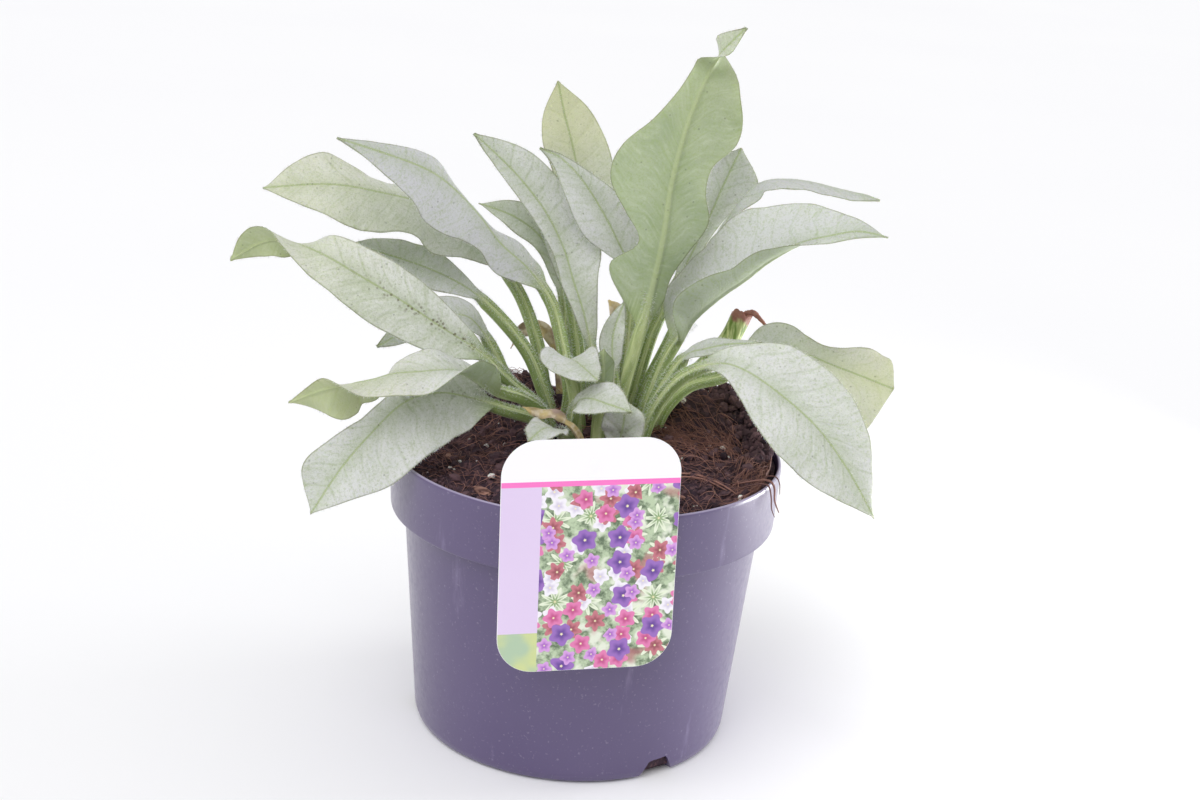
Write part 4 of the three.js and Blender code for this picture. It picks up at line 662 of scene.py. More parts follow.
def soil_surface():
    s = Surface("soil", 0.92, Specular_IOR_Level=0.25)
    tone = s.mix(s.noise(120, 5), srgb(44, 33, 44), srgb(92, 71, 82))
    tone = s.mix(s.ramp(s.noise(420, 4), 0.48, 0.66), tone, srgb(118, 88, 92))
    s.colour(tone)
    s.bump(s.plus(s.noise(700, 6, roughness=0.7), s.cells(260).outputs["Distance"]), 1.6)
    return s.material


def crumb_surface():
    s = Surface("soil_crumbs", 0.9, Specular_IOR_Level=0.25)
    tint = s.attribute("tint")
    dark = s.mix(tint, srgb(40, 30, 40), srgb(110, 84, 90))
    s.colour(s.mix(s.ramp(s.noise(500, 4), 0.4, 0.7, 0.0, 0.6), dark, srgb(82, 60, 66)))
    s.bump(s.noise(1200, 4), 0.5)
    return s.material


def fibre_surface():
    s = Surface("coir_fibre", 0.6, Specular_IOR_Level=0.4)
    tint = s.attribute("tint")
    s.colour(s.mix(tint, srgb(84, 56, 58), srgb(172, 124, 112)))
    s.bump(s.noise(2500, 2), 0.05)
    return s.material


def perlite_surface():
    s = Surface("perlite", 0.7, Subsurface_Weight=0.2, Subsurface_Scale=0.001)
    s.colour(s.mix(s.ramp(s.noise(900, 3), 0.3, 0.6), srgb(206, 196, 190), srgb(240, 236, 236)))
    s.bump(s.noise(1600, 3), 0.3)
    return s.material


def bark_surface():
    s = Surface("bark", 0.8)
    grain = s.noise(240, 4, s.stretched(0.3, 1.6, 1.6))
    s.colour(s.mix(s.ramp(grain, 0.35, 0.65), srgb(88, 58, 54), srgb(164, 122, 108)))
    s.bump(grain, 0.5)
    return s.material


def pot_surface():
    s = Surface("pot_plastic", 0.34, Specular_IOR_Level=0.6, Coat_Weight=0.35, Coat_Roughness=0.22)
    # The base purple is partly painted light: it is set light enough to take in the flare haze that lifts the
    # pot's darks
    pot_colour_and_painted_light = s.mix(s.noise(14, 3), srgb(77, 64, 104), srgb(91, 78, 117))
    scuffs = s.noise(70, 5, s.stretched(1.0, 1.0, 0.16), 0.7)
    pot_colour_and_painted_light = s.mix(s.ramp(scuffs, 0.58, 0.72, 0.0, 0.3), pot_colour_and_painted_light, srgb(146, 134, 168))
    # Painted highlight: a lighter band along the top of the lip stands in for the thin line of light that its
    # edge catches
    height = s.split(s.place)[2]
    painted_rim_highlight = s.ramp(height, (POT_HEIGHT - 0.8) * MM, (POT_HEIGHT - 0.2) * MM, 0.0, 0.7)
    pot_colour_and_painted_light = s.mix(painted_rim_highlight, pot_colour_and_painted_light, srgb(176, 166, 194))
    dust = s.noise(800, 3)
    pot_colour_and_painted_light = s.mix(s.ramp(dust, 0.62, 0.74, 0.0, 0.25), pot_colour_and_painted_light, srgb(170, 160, 176))
    s.colour(pot_colour_and_painted_light)
    s.feed(s.shader.inputs["Roughness"], s.ramp(s.noise(340, 4), 0.4, 0.7, 0.3, 0.38))
    rings = s.noise(100, 2, s.stretched(0.05, 0.05, 1.0))
    s.bump(s.plus(s.times(rings, 0.6), s.noise(1100, 2)), 0.03, 0.5)
    return s.material


def crown_surface():
    s = Surface("rootstock", 0.85)
    s.colour(s.mix(s.noise(200, 4), srgb(74, 52, 36), srgb(126, 98, 68)))
    s.bump(s.noise(500, 4), 0.8)
    return s.material


# Leaves

class LeafShape:
    """The frames and widths of a leaf at even steps of its length, worked out as in the frame."""

    def __init__(self, leaf, number):
        at, self.length = evenly_along(leaf.spine)
        self.number = number
        self.share = np.linspace(0, 1, leaf.steps + 1)
        self.spine = at(self.share)
        reach = TANGENT_REACH
        self.ahead = unit(at(np.clip(self.share + reach, 0, 1)) - at(np.clip(self.share - reach, 0, 1)))
        self.ahead[0] = (0, 0, 1)
        face = read_smoothly(leaf.face, self.share)
        self.face = unit(face - (face * self.ahead).sum(1, keepdims=True) * self.ahead)
        if leaf.twist:
            angle, start, end = leaf.twist
            turn = math.radians(angle) * smooth_step(start, end, self.share)[:, None]
            self.face = self.face * np.cos(turn) + np.cross(self.ahead, self.face) * np.sin(turn)
        self.across = np.cross(self.ahead, self.face)
        self.along = np.clip((self.share - leaf.stalk) / (1 - leaf.stalk), 0, 1)
        self.blade = np.clip(8 * self.along, 0, 1)
        self.petiole = leaf.petiole
        self.ripple = leaf.ripple
        self.stem = np.where(
            self.along > 0,
            self.petiole * (1 - self.along) ** 0.7,
            self.petiole + PETIOLE_FLARE * (1 - self.share / leaf.stalk),
        )
        self.width = {-1: self.half_width(leaf.left), 1: self.half_width(leaf.right)}
        self.lift = {-1: self.half_lift(leaf.lift_left, -1), 1: self.half_lift(leaf.lift_right, 1)}

    def half_width(self, widths):
        drawn = read_smoothly([0, *widths, 0], self.along)[:, 0]
        return np.maximum(np.maximum(self.stem, drawn), TIP_HALF_WIDTH)

    def half_lift(self, lifts, side):
        channel = math.radians(CHANNEL_ANGLE) * (1 - self.blade)
        lift = np.radians(read_smoothly(lifts, self.along)[:, 0]) * self.blade
        lift = lift * np.minimum(self.width[side] / LIFTED_WIDTH, 1)
        return 0.6 * channel + 0.4 * lift, channel + lift

    def distances(self, side):
        """Places of the mesh columns on one half, in mm from the midrib: (steps, columns)."""
        width = self.width[side]
        rib = np.minimum(self.rib_reach(), RIB_REACH["largest_share"] * width)
        inner = rib[:, None] * np.array(RIB_COLUMNS)
        ease = 1 - (1 - np.arange(1, BLADE_COLUMNS + 1) / BLADE_COLUMNS) ** 1.2
        outer = rib[:, None] + (width - rib)[:, None] * ease
        return np.concatenate([inner, outer], axis=1)

    def rib_reach(self):
        return RIB_REACH["tip"] + RIB_REACH["root"] * (1 - self.along) * self.petiole / PETIOLE_HALF_WIDTH

    def half(self, side):
        """Points, normals, distances from the midrib and shares of the half width."""
        width = self.width[side][:, None]
        inner, outer = (value[:, None] for value in self.lift[side])
        distance = self.distances(side)
        share = distance / width
        turn = outer - inner
        flat = np.abs(turn) < 1e-4
        safe = np.where(flat, 1, turn)
        angle = inner + turn * share
        out = np.where(flat, distance * np.cos(inner), width * (np.sin(angle) - np.sin(inner)) / safe)
        up = np.where(flat, distance * np.sin(inner), width * (np.cos(inner) - np.cos(angle)) / safe)
        phase = 2 * math.pi * RIPPLE_WAVES * self.share[:, None] + self.number + side
        blade = self.blade[:, None]
        up = up + blade * self.ripple * RIPPLE_HEIGHT * share ** 2 * np.sin(phase)
        up = up + blade * self.relief(distance, share, side)
        points = (self.spine[:, None] + side * out[..., None] * self.across[:, None]
                  + up[..., None] * self.face[:, None])
        normals = (np.cos(angle)[..., None] * self.face[:, None]
                   - side * np.sin(angle)[..., None] * self.across[:, None])
        normals[:, 0] = self.face
        return points, normals, distance, share

    def vein_phase(self, distance):
        run = self.share[:, None] * self.length
        bend = 0.5 * smooth_noise(run / 25 + self.number * 5, distance / 9, 2)
        return (run - 0.95 * distance + 0.012 * distance ** 2) / VEIN_SPACING + bend

    def relief(self, distance, share, side):
        """Soft swells between the veins, sunken veins, and small waves along the margin."""
        run = self.share[:, None] * self.length
        place = run / 13 + 9.7 * self.number + 31 * (side > 0)
        swell = RELIEF["swell"] * smooth_noise(place, distance / 8, 0) * smooth_step(0.05, 0.5, share)
        wave = RELIEF["wave"] * smooth_noise(run / 5 + 4.1 * self.number, distance * 0 + side, 1) * share ** 4
        wide = smooth_step(4, 9, self.width[side])[:, None]
        vein = np.abs(self.vein_phase(distance) % 1 - 0.5)
        sunk = -RELIEF["vein"] * np.exp(-(vein / VEIN_WIDTH) ** 2)
        sunk = sunk * smooth_step(0.05, 0.2, share) * (1 - share ** 3)
        pillow = RELIEF["pillow"] * np.sin(math.pi * np.clip(vein * 2, 0, 1)) * (1 - share ** 2)
        return wide * (swell + sunk + pillow) + wave * np.minimum(1, self.width[side][:, None] / 9)


def leaf_rings(shape):
    """The closed ring of points round the leaf at each step with each point's measures, the count of
    points across its top, and the normals and points of its middle sheet."""
    halves = {side: shape.half(side) for side in (-1, 1)}

    def both(index, sign=1):
        left, right = halves[-1][index], halves[1][index]
        return np.concatenate([sign * left[:, :0:-1], right], axis=1)

    points, normals = both(0), both(1)
    distance, share = both(2), both(3)
    signed = both(2, -1)
    along, blade = shape.along[:, None], shape.blade[:, None]
    half_thick = HALF_THICKNESS - MARGIN_THINNING * share ** 3
    groove = GROOVE["depth"] * blade * (1 - GROOVE["taper"] * along)
    groove = groove * np.exp(-(distance / GROOVE["width"]) ** 2)
    reach = shape.rib_reach()[:, None]
    petiole = (1 - blade) * PETIOLE_DEPTH * shape.petiole / PETIOLE_HALF_WIDTH
    keel = petiole * np.sqrt(np.maximum(1 - share ** 2, 0))
    midrib = blade * MIDRIB_DEPTH * MIDRIB_FILL * (1 - MIDRIB_TAPER * along)
    keel = keel + midrib * np.sqrt(np.maximum(1 - (distance / reach) ** 2, 0))
    top = points + normals * (half_thick - groove)[..., None]
    under = points - normals * (half_thick + keel)[..., None]
    outward = np.stack([points[:, 0] - points[:, 1], points[:, -1] - points[:, -2]], axis=1)
    edge = points[:, [0, -1]] + unit(outward) * MARGIN_ROUNDING
    ring = np.concatenate([top, edge[:, 1:], under[:, ::-1], edge[:, :1]], axis=1)

    def round_ring(values):
        return np.concatenate([values, values[:, -1:], values[:, ::-1], values[:, :1]], axis=1)

    width = np.where(signed < 0, shape.width[-1][:, None], shape.width[1][:, None])
    measures = {
        "across": round_ring(signed),
        "along": round_ring(np.broadcast_to(shape.share[:, None] * shape.length, signed.shape)),
        "margin": round_ring(width - distance),
        "vein": round_ring(shape.vein_phase(distance)),
        "share": round_ring(np.broadcast_to(shape.share[:, None], signed.shape)),
    }
    return ring, measures, top.shape[1], normals, points


def hair_spikes(roots, directions, lengths, radius):
    """Closed three-sided spikes: four points and four triangles for each hair."""
    directions = unit(directions)
    first, second = two_across(directions)
    corners = [
        roots + radius * (math.cos(angle) * first + math.sin(angle) * second)
        for angle in (2 * math.pi * turn / 3 for turn in (0, 1, 2))
    ]
    tips = roots + directions * lengths[:, None]
    points = np.stack([*corners, tips], axis=1).reshape(-1, 3)
    base = 4 * np.arange(len(roots))[:, None]
    faces = np.concatenate([base + corner for corner in ([0, 1, 3], [1, 2, 3], [2, 0, 3], [2, 1, 0])])
    return points, faces


def leaf_hairs(shape, points, normals, draw):
    """Hairs along both margins, round the petiole and strewn over the upper face."""
    steps, length = len(shape.share), shape.length
    roots, directions, lengths = [], [], []

    def read(grid, place, column):
        first = np.minimum(place.astype(int), steps - 2)
        u = (place - first)[:, None]
        return grid[first, column] * (1 - u) + grid[first + 1, column] * u

    hairs = HAIRS["margin"]
    for column, inward in ((0, 1), (-1, -2)):
        count = int(length * hairs["per_mm"])
        place = np.sort(draw.random(count)) * (steps - 1)
        margin, inner = read(points, place, column), read(points, place, inward)
        ahead = read(shape.ahead[:, None], place, 0)
        stray = draw.normal(0, hairs["stray"], (count, 3))
        roots.append(margin)
        directions.append(unit(margin - inner) + hairs["lean"] * ahead + stray)
        lengths.append(draw.uniform(*hairs["lengths"], count))
    hairs = HAIRS["petiole"]
    stalk_end = np.argmax(shape.along > 0.12)
    count = int(length * shape.share[stalk_end] * hairs["per_mm"])
    place = (0.06 + 0.94 * draw.random(count)) * stalk_end
    turn = draw.uniform(0, 2 * math.pi, count)
    first = np.minimum(place.astype(int), steps - 2)
    side = np.cos(turn)[:, None] * shape.across[first] + np.sin(turn)[:, None] * shape.face[first]
    depth = np.where(np.sin(turn) < 0, PETIOLE_DEPTH, 0.9 * shape.petiole)
    radius = np.hypot(np.cos(turn) * shape.petiole, np.sin(turn) * depth)
    roots.append(read(shape.spine[:, None], place, 0) + side * 0.9 * radius[:, None])
    directions.append(side + draw.normal(0, hairs["stray"], (count, 3)))
    lengths.append(draw.uniform(*hairs["lengths"], count))
    hairs = HAIRS["face"]
    count = int(length * hairs["per_mm"])
    place = (0.3 + 0.7 * draw.random(count)) * (steps - 1)
    column = draw.integers(1, points.shape[1] - 1, count)
    first = np.minimum(place.astype(int), steps - 2)
    normal = normals[first, column]
    roots.append(read(points, place, column) + normal * 0.2)
    stray = draw.normal(0, hairs["stray"], (count, 3))
    directions.append(normal + hairs["lean"] * shape.ahead[first] + stray)
    lengths.append(draw.uniform(*hairs["lengths"], count))
    roots, directions, lengths = (np.concatenate(parts) for parts in (roots, directions, lengths))
    return hair_spikes(roots, directions, lengths, HAIR_RADIUS)


def leaf_piece(leaf, number, materials, slot, hairy=True):
    """One leaf with its petiole, felt hairs and measures for its material."""
    shape = LeafShape(leaf, number)
    ring, measures, top_columns, normals, middle = leaf_rings(shape)
    rows, columns = ring.shape[:2]
    points = ring.reshape(-1, 3)
    faces, root, tip = tube_faces(rows, columns)
    on_top = np.arange(len(faces)) % columns < top_columns - 1
    groups, slots = [faces[on_top], faces[~on_top], tip, root], [0, 1, 1, 1]
    draw = np.random.default_rng(SEEDS["leaves"] + number)
    hairs = 0
    if hairy:
        spikes, triangles = leaf_hairs(shape, middle, normals, draw)
        groups.append(triangles + len(points))
        slots.append(2)
        hairs = len(spikes)
        points = np.concatenate([points, spikes])
    tone = LEAF_TONES.get(leaf.name, {})
    share = measures["share"].ravel()
    yellow = tone.get("yellow", 0) * smooth_step(*YELLOW_SPAN, share)
    spots = tone.get("spots", 0) * smooth_step(*SPOT_SPAN, share)
    blade = np.broadcast_to(shape.blade[:, None], (rows, columns)).ravel()
    # The grey share is partly painted shade for leaves that stand in shade
    grey = np.full(rows * columns, tone.get("grey", USUAL_GREY))
    place = [measures[key].ravel() for key in ("across", "along", "margin")]
    pad = ((0, hairs), (0, 0))
    attributes = {
        "leaf_place": np.pad(np.stack(place, axis=1), pad),
        "leaf_tone": np.pad(np.stack([blade, grey, yellow], axis=1), pad),
        "leaf_vein": np.pad(measures["vein"].ravel(), (0, hairs)),
        "leaf_spots": np.pad(spots, (0, hairs)),
    }
    piece = mesh_piece(leaf.name + "_fine", points, groups, materials, slots, attributes)
    place_piece(piece, slot, leaf.name)


def build_leaves():
    materials = [leaf_surface("leaf_upper_face", True), leaf_surface("leaf_underside", False), hair_surface()]
    for number, leaf in enumerate(LEAVES):
        leaf_piece(leaf, number, materials, "leaf")
    dry = dry_surface()
    for number, leaf in enumerate(DEAD_LEAVES):
        leaf_piece(leaf, number, [dry, dry, dry], "dry_leaf", hairy=False)


# Pot

def rounded_outline(points, radius, steps=4):
    """The outline with each inner corner taken off by a smooth bend that starts at the radius."""
    line = [points[0]]
    for before, corner, after in zip(points, points[1:], points[2:]):
        before, corner, after = (np.array(point, float) for point in (before, corner, after))
        enter, leave = before - corner, after - corner
        enter *= min(radius / np.linalg.norm(enter), 0.45)
        leave *= min(radius / np.linalg.norm(leave), 0.45)
        for step in range(steps + 1):
            u = step / steps
            line.append(tuple(corner + enter * (1 - u) ** 2 + leave * u ** 2))
    line.append(points[-1])
    return line


def apply_boolean(piece, other, operation):
    modifier = piece.modifiers.new("join", "BOOLEAN")
    modifier.operation = operation
    modifier.object = other
    modifier.solver = "EXACT"
    view = bpy.context.evaluated_depsgraph_get()
    result = bpy.data.meshes.new_from_object(piece.evaluated_get(view))
    piece.modifiers.clear()
    piece.data = result
    bpy.data.objects.remove(other)


def slab_piece(name, near, far, flip=False):
    """A closed slab between two flat loops of points, turned inside out by the flip."""
    column = np.arange(len(near))
    follow, count = (column + 1) % len(near), len(near)
    walls = np.stack([column, follow, follow + count, column + count], axis=1)
    ends = [column[None, ::-1], column[None] + count]
    if flip:
        walls, ends = np.roll(walls[:, ::-1], 1, axis=1), [end[:, ::-1] for end in ends]
    return mesh_piece(name, np.concatenate([near, far]), [walls, *ends], smooth=False)


def upright_slab(name, outline, front, back, turn=0.0):
    """A slab drawn out from an outline of (x, z) points, from y = front to y = back."""
    near, far = (np.array([(x, y, z) for x, z in outline], float) @ turn_about_z(turn) for y in (front, back))
    return slab_piece(name, near, far)


def pot_outline():
    outside = [
        (0, 0), (BASE_RADIUS - FOOT_ROUNDING, 0), (BASE_RADIUS - 1, 1.2), (BASE_RADIUS, FOOT_ROUNDING),
        (WALL_TOP_RADIUS, BAND_FOOT - 0.7), (BAND_FOOT_RADIUS - 0.4, BAND_FOOT - 0.2),
        (BAND_FOOT_RADIUS, BAND_FOOT + 0.5), (RIM_RADIUS, POT_HEIGHT - 1.4),
        (RIM_RADIUS - 0.3, POT_HEIGHT - 0.3), (RIM_RADIUS - 0.85, POT_HEIGHT),
        (RIM_RADIUS - 1.4, POT_HEIGHT - 0.3),
    ]
    inside = [
        (RIM_RADIUS - WALL, POT_HEIGHT - 1.4), (BAND_FOOT_RADIUS - WALL, LEDGE + 0.8),
        (WALL_TOP_RADIUS - 1.4, LEDGE), (WALL_TOP_RADIUS - WALL, BAND_FOOT - 0.7),
        (BASE_RADIUS - WALL, FOOT_ROUNDING + 0.5), (BASE_RADIUS - WALL - 1.6, FLOOR_THICKNESS),
        (0, FLOOR_THICKNESS),
    ]
    return rounded_outline(outside + inside, 0.9)


def spread_rows(outline, longest):
    """The outline with points added on its long stretches."""
    line = [outline[0]]
    for before, after in zip(outline, outline[1:]):
        pieces = max(1, math.ceil(math.dist(before, after) / longest))
        for step in range(1, pieces + 1):
            u = step / pieces
            line.append((before[0] + (after[0] - before[0]) * u, before[1] + (after[1] - before[1]) * u))
    return line


def build_pot():
    outline = spread_rows(pot_outline(), POT_ROW_HEIGHT)
    angles = 2 * math.pi * np.arange(POT_SIDES) / POT_SIDES
    walls = [(radius, z) for radius, z in outline if radius > 1e-6]
    rings = np.array([[(r * math.cos(a), r * math.sin(a), z) for a in angles] for r, z in walls])
    first, last = ((0, 0, height) for _, height in (outline[0], outline[-1]))
    pot = mesh_piece("pot_fine", *fanned_tube(rings, first, last))
    reach = BASE_RADIUS + 5
    for angle in NOTCH_ANGLES:
        cutter = upright_slab("notch_cutter", NOTCH_OUTLINE, -reach, NOTCH_REACH - reach, math.radians(angle))
        apply_boolean(pot, cutter, "DIFFERENCE")
    set_materials(pot.data, pot_surface())
    pot.data.shade_smooth()
    pot.data.set_sharp_from_angle(angle=math.radians(POT_CREASE))
    place_piece(pot, "pot", "pot")


# Soil

def soil_height(x, y):
    mounds = sum(
        rise * np.exp(-((x - middle_x) ** 2 + (y - middle_y) ** 2) / reach ** 2 / 2)
        for middle_x, middle_y, rise, reach in MOUNDS
    )
    lumps = np.sin(x / 5.3 + 1) * np.cos(y / 6.1 + 2) + 0.6 * np.sin(x / 2.9 + y / 4.1)
    return SOIL_LEVEL + mounds + LUMP_HEIGHT * lumps


def crumb_relief(x, y):
    """The fine roughness of the soil's surface, over its heaps and lumps."""
    rough = 1.1 * smooth_noise(x / 4.3, y / 4.3, 0) + 0.9 * smooth_noise(x / 2.1, y / 2.1, 3)
    return rough + 0.5 * smooth_noise(x / 1.05, y / 1.05, 4) - 0.6


def build_soil():
    radii = SOIL_RADIUS * (np.arange(1, SOIL_RINGS + 1) / SOIL_RINGS) ** 0.8
    angles = 2 * math.pi * np.arange(SOIL_SIDES) / SOIL_SIDES
    r, a = np.meshgrid(radii[::-1], angles, indexing="ij")
    x, y = r * np.cos(a), r * np.sin(a)
    settle = smooth_step(SOIL_RADIUS - SETTLE["width"], SOIL_RADIUS, r)
    z = soil_height(x, y) + crumb_relief(x, y) * (1 - SETTLE["smoothing"] * settle) - SETTLE["depth"] * settle
    skirt = np.array([[(s * math.cos(t), s * math.sin(t), h) for t in angles] for s, h in SOIL_SKIRT])
    rings = np.concatenate([skirt, np.stack([x, y, z], axis=2)])
    ends = (0, 0, SOIL_SKIRT[0][1]), (0, 0, float(soil_height(0, 0)))
    soil = mesh_piece("soil_fine", *fanned_tube(rings, *ends), [soil_surface()])
    place_piece(soil, "soil", "soil")


def disc_places(draw, count, reach=SOIL_RADIUS - 1.5):
    r = reach * np.sqrt(draw.random(count))
    a = draw.uniform(0, 2 * math.pi, count)
    return r * np.cos(a), r * np.sin(a)


def ball_mesh(divisions):
    """Points and triangles of an icosphere of radius 1."""
    ball = bmesh.new()
    bmesh.ops.create_icosphere(ball, subdivisions=divisions, radius=1)
    points = np.array([vertex.co[:] for vertex in ball.verts])
    faces = np.array([[vertex.index for vertex in face.verts] for face in ball.faces])
    ball.free()
    return points, faces


def scattered_lumps(draw, centres, sizes, divisions, rough):
    """Distorted balls at the centres: points, triangles and one random tint for each ball."""
    ball, triangles = ball_mesh(divisions)
    count = len(centres)
    stretch = draw.uniform(0.65, 1.35, (count, 1, 3))
    bumps = 1 + rough * draw.normal(0, 1, (count, len(ball), 1))
    w, i, j, k = unit(draw.normal(0, 1, (count, 4))).T
    turn = np.stack([
        1 - 2 * (j * j + k * k), 2 * (i * j - k * w), 2 * (i * k + j * w),
        2 * (i * j + k * w), 1 - 2 * (i * i + k * k), 2 * (j * k - i * w),
        2 * (i * k - j * w), 2 * (j * k + i * w), 1 - 2 * (i * i + j * j),
    ], axis=1).reshape(count, 3, 3)
    shapes = ball[None] * stretch * bumps * sizes[:, None, None]
    points = np.einsum("nij,nvj->nvi", turn, shapes) + centres[:, None]
    faces = triangles[None] + (np.arange(count) * len(ball))[:, None, None]
    tint = np.repeat(draw.random(count), len(ball))
    return points.reshape(-1, 3), faces.reshape(-1, 3), tint


def bank_places(draw, count, bank):
    """Places of crumbs heaped along a stretch of the rim, and how far each lies above the soil."""
    low, high = bank["from"], bank["to"]
    angle = draw.uniform(low, high, count)
    away = np.clip(draw.normal(0, 1, count), -2.5, 1.2)
    radius = bank["radius"] + bank["spread"] * away
    x, y = radius * np.cos(np.radians(angle)), radius * np.sin(np.radians(angle))
    ends = smooth_step(low, low + bank["end"], angle) * smooth_step(high, high - bank["end"], angle)
    return x, y, bank["rise"] * np.exp(-away ** 2 / 2) * ends * draw.random(count)


def on_soil(x, y, rise):
    """Places on the rough surface of the soil, raised by a height above it."""
    return np.stack([x, y, soil_height(x, y) + crumb_relief(x, y) + rise], axis=1)


def build_crumbs():
    draw = np.random.default_rng(SEEDS["crumbs"])
    parts, tints = [], []
    for count, low, high, divisions, bank in CRUMB_LAYERS:
        # The bank draws these places as well and leaves them, so that what is drawn later stays the same
        x, y = disc_places(draw, count)
        rise = 0
        if bank:
            x, y, rise = bank_places(draw, count, bank)
        sizes = low + (high - low) * draw.random(count) ** CRUMBS["power"]
        places = on_soil(x, y, CRUMBS["lift"] * sizes + rise)
        *lumps, tint = scattered_lumps(draw, places, sizes, divisions, CRUMBS["rough"])
        parts.append(lumps)
        tints.append(tint)
    add_litter("soil_crumbs", parts, crumb_surface(), tints, smooth=False)
    bead = PERLITE
    x, y = disc_places(draw, bead["count"])
    sizes = bead["smallest"] + bead["spread"] * draw.random(bead["count"]) ** bead["power"]
    places = on_soil(x, y, bead["lift"] * sizes)
    points, faces, _ = scattered_lumps(draw, places, sizes, 2, bead["rough"])
    add_litter("perlite", [(points, faces)], perlite_surface())


def add_litter(name, parts, material, tints=None, smooth=True):
    """One piece of everything of a kind that lies on the soil, from (points, faces) pairs."""
    starts = np.cumsum([0] + [len(points) for points, _ in parts])
    points = np.concatenate([points for points, _ in parts])
    faces = np.concatenate([faces + start for (_, faces), start in zip(parts, starts)])
    attributes = {"tint": np.concatenate(tints)} if tints else None
    place_piece(mesh_piece(name, points, [faces], [material], attributes=attributes, smooth=smooth), "soil")


def strand(line, radius, sides=3):
    """Points and faces of a closed thin tube along a line, thinner towards both ends."""
    line = np.asarray(line, float)
    first, second = two_across(unit(np.gradient(line, axis=0)))
    taper = np.sin(math.pi * np.linspace(0.08, 0.96, len(line))) ** 0.4
    radius = (radius * taper)[:, None]
    turns = 2 * math.pi * np.arange(sides) / sides
    rings = [line + radius * (math.cos(turn) * first + math.sin(turn) * second) for turn in turns]
    points = np.stack(rings, axis=1).reshape(-1, 3)
    walls = grid_faces(len(line), sides, wrap=True)
    walls = np.concatenate([walls[:, [0, 1, 2]], walls[:, [0, 2, 3]]])
    fans = np.array([[0, corner + 1, corner] for corner in range(1, sides - 1)])
    return points, np.concatenate([walls, fans, fans[:, ::-1] + (len(line) - 1) * sides])


def lying_fibre(draw, x, y, heading, length, curl, lift):
    """A fibre that wanders over the soil with its ends down in it."""
    steps = 8
    line = []
    for step in range(steps + 1):
        share = step / steps
        r = math.hypot(x, y)
        if r > SOIL_RADIUS - 2:
            x, y = x * (SOIL_RADIUS - 2) / r, y * (SOIL_RADIUS - 2) / r
        height = float(soil_height(x, y)) + lift * math.sin(math.pi * share) - 0.4
        line.append((x, y, height + 0.3 * draw.normal()))
        heading += curl * draw.normal()
        x += length / steps * math.cos(heading)
        y += length / steps * math.sin(heading)
    return line


def build_fibres():
    draw = np.random.default_rng(SEEDS["fibres"])
    strands, tints = [], []

    def add(line, radius, sides=3, palest=0.0):
        strands.append(strand(line, radius, sides))
        tints.append(np.full(len(strands[-1][0]), palest + (1 - palest) * draw.random()))

    loose = LOOSE_FIBRES
    x, y = disc_places(draw, loose["count"])
    for px, py in zip(x, y):
        heading = draw.uniform(0, 2 * math.pi)
        length, lift = draw.uniform(*loose["length"]), draw.uniform(*loose["lift"])
        line = lying_fibre(draw, px, py, heading, length, loose["curl"], lift)
        add(line, draw.uniform(*loose["radius"]))
    for mat in COIR_MATS:
        for _ in range(mat["count"]):
            px, py = mat["x"] + mat["spread"] * draw.normal(), mat["y"] + mat["spread"] * draw.normal()
            heading = math.radians(mat["heading"]) + 0.3 * draw.normal()
            length = draw.uniform(*MAT_FIBRES["length"])
            lift = draw.uniform(MAT_FIBRES["lowest"], mat["lift"])
            line = lying_fibre(draw, px, py, heading, length, MAT_FIBRES["curl"], lift)
            add(line, draw.uniform(*MAT_FIBRES["radius"]), palest=MAT_FIBRES["palest"])
    for line, radius in HANGING_FIBRES:
        smooth = read_smoothly(line, np.linspace(0, 1, 24))
        add(smooth, radius, 5)
    add_litter("coir_fibres", strands, fibre_surface(), tints)


def build_bark():
    """Flat chips of bark pressed into the soil."""
    draw = np.random.default_rng(SEEDS["bark"])
    ball, triangles = ball_mesh(3)
    parts = []
    for x, y, size in BARK_CHIPS:
        centre = (x, y, float(soil_height(x, y)) + BARK_LIFT)
        heading = draw.uniform(0, math.pi)
        flat = ball * np.array(BARK_FLATTEN) * size * (1 + 0.07 * draw.normal(0, 1, (len(ball), 1)))
        parts.append((flat @ turn_about_z(heading) + centre, triangles))
    add_litter("bark_chips", parts, bark_surface(), smooth=False)


# Crown and stalk

def build_crown():
    set_materials(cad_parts["crown"].data, crown_surface())


def stem_rings(line, radii, draw, steps, sides, rough):
    """Rings round a ribbed stem, with the radii spread along it: (steps + 1, sides, 3)."""
    share = np.linspace(0, 1, steps + 1)
    places = evenly_along(line)[0](share)
    ahead = unit(np.gradient(places, axis=0))
    across = unit(np.cross([[0.0, 1.0, 0.0]], ahead))
    up = np.cross(ahead, across)
    radius = read_smoothly(radii, share)
    turns = 2 * math.pi * np.arange(sides) / sides
    ribs = STALK_RIBS["height"] * np.cos(STALK_RIBS["count"] * turns)[None]
    ridge = 1 + ribs + rough * draw.normal(0, 1, (steps + 1, sides))
    around = np.cos(turns)[None, :, None] * across[:, None] + np.sin(turns)[None, :, None] * up[:, None]
    return places[:, None] + (radius * ridge)[..., None] * around


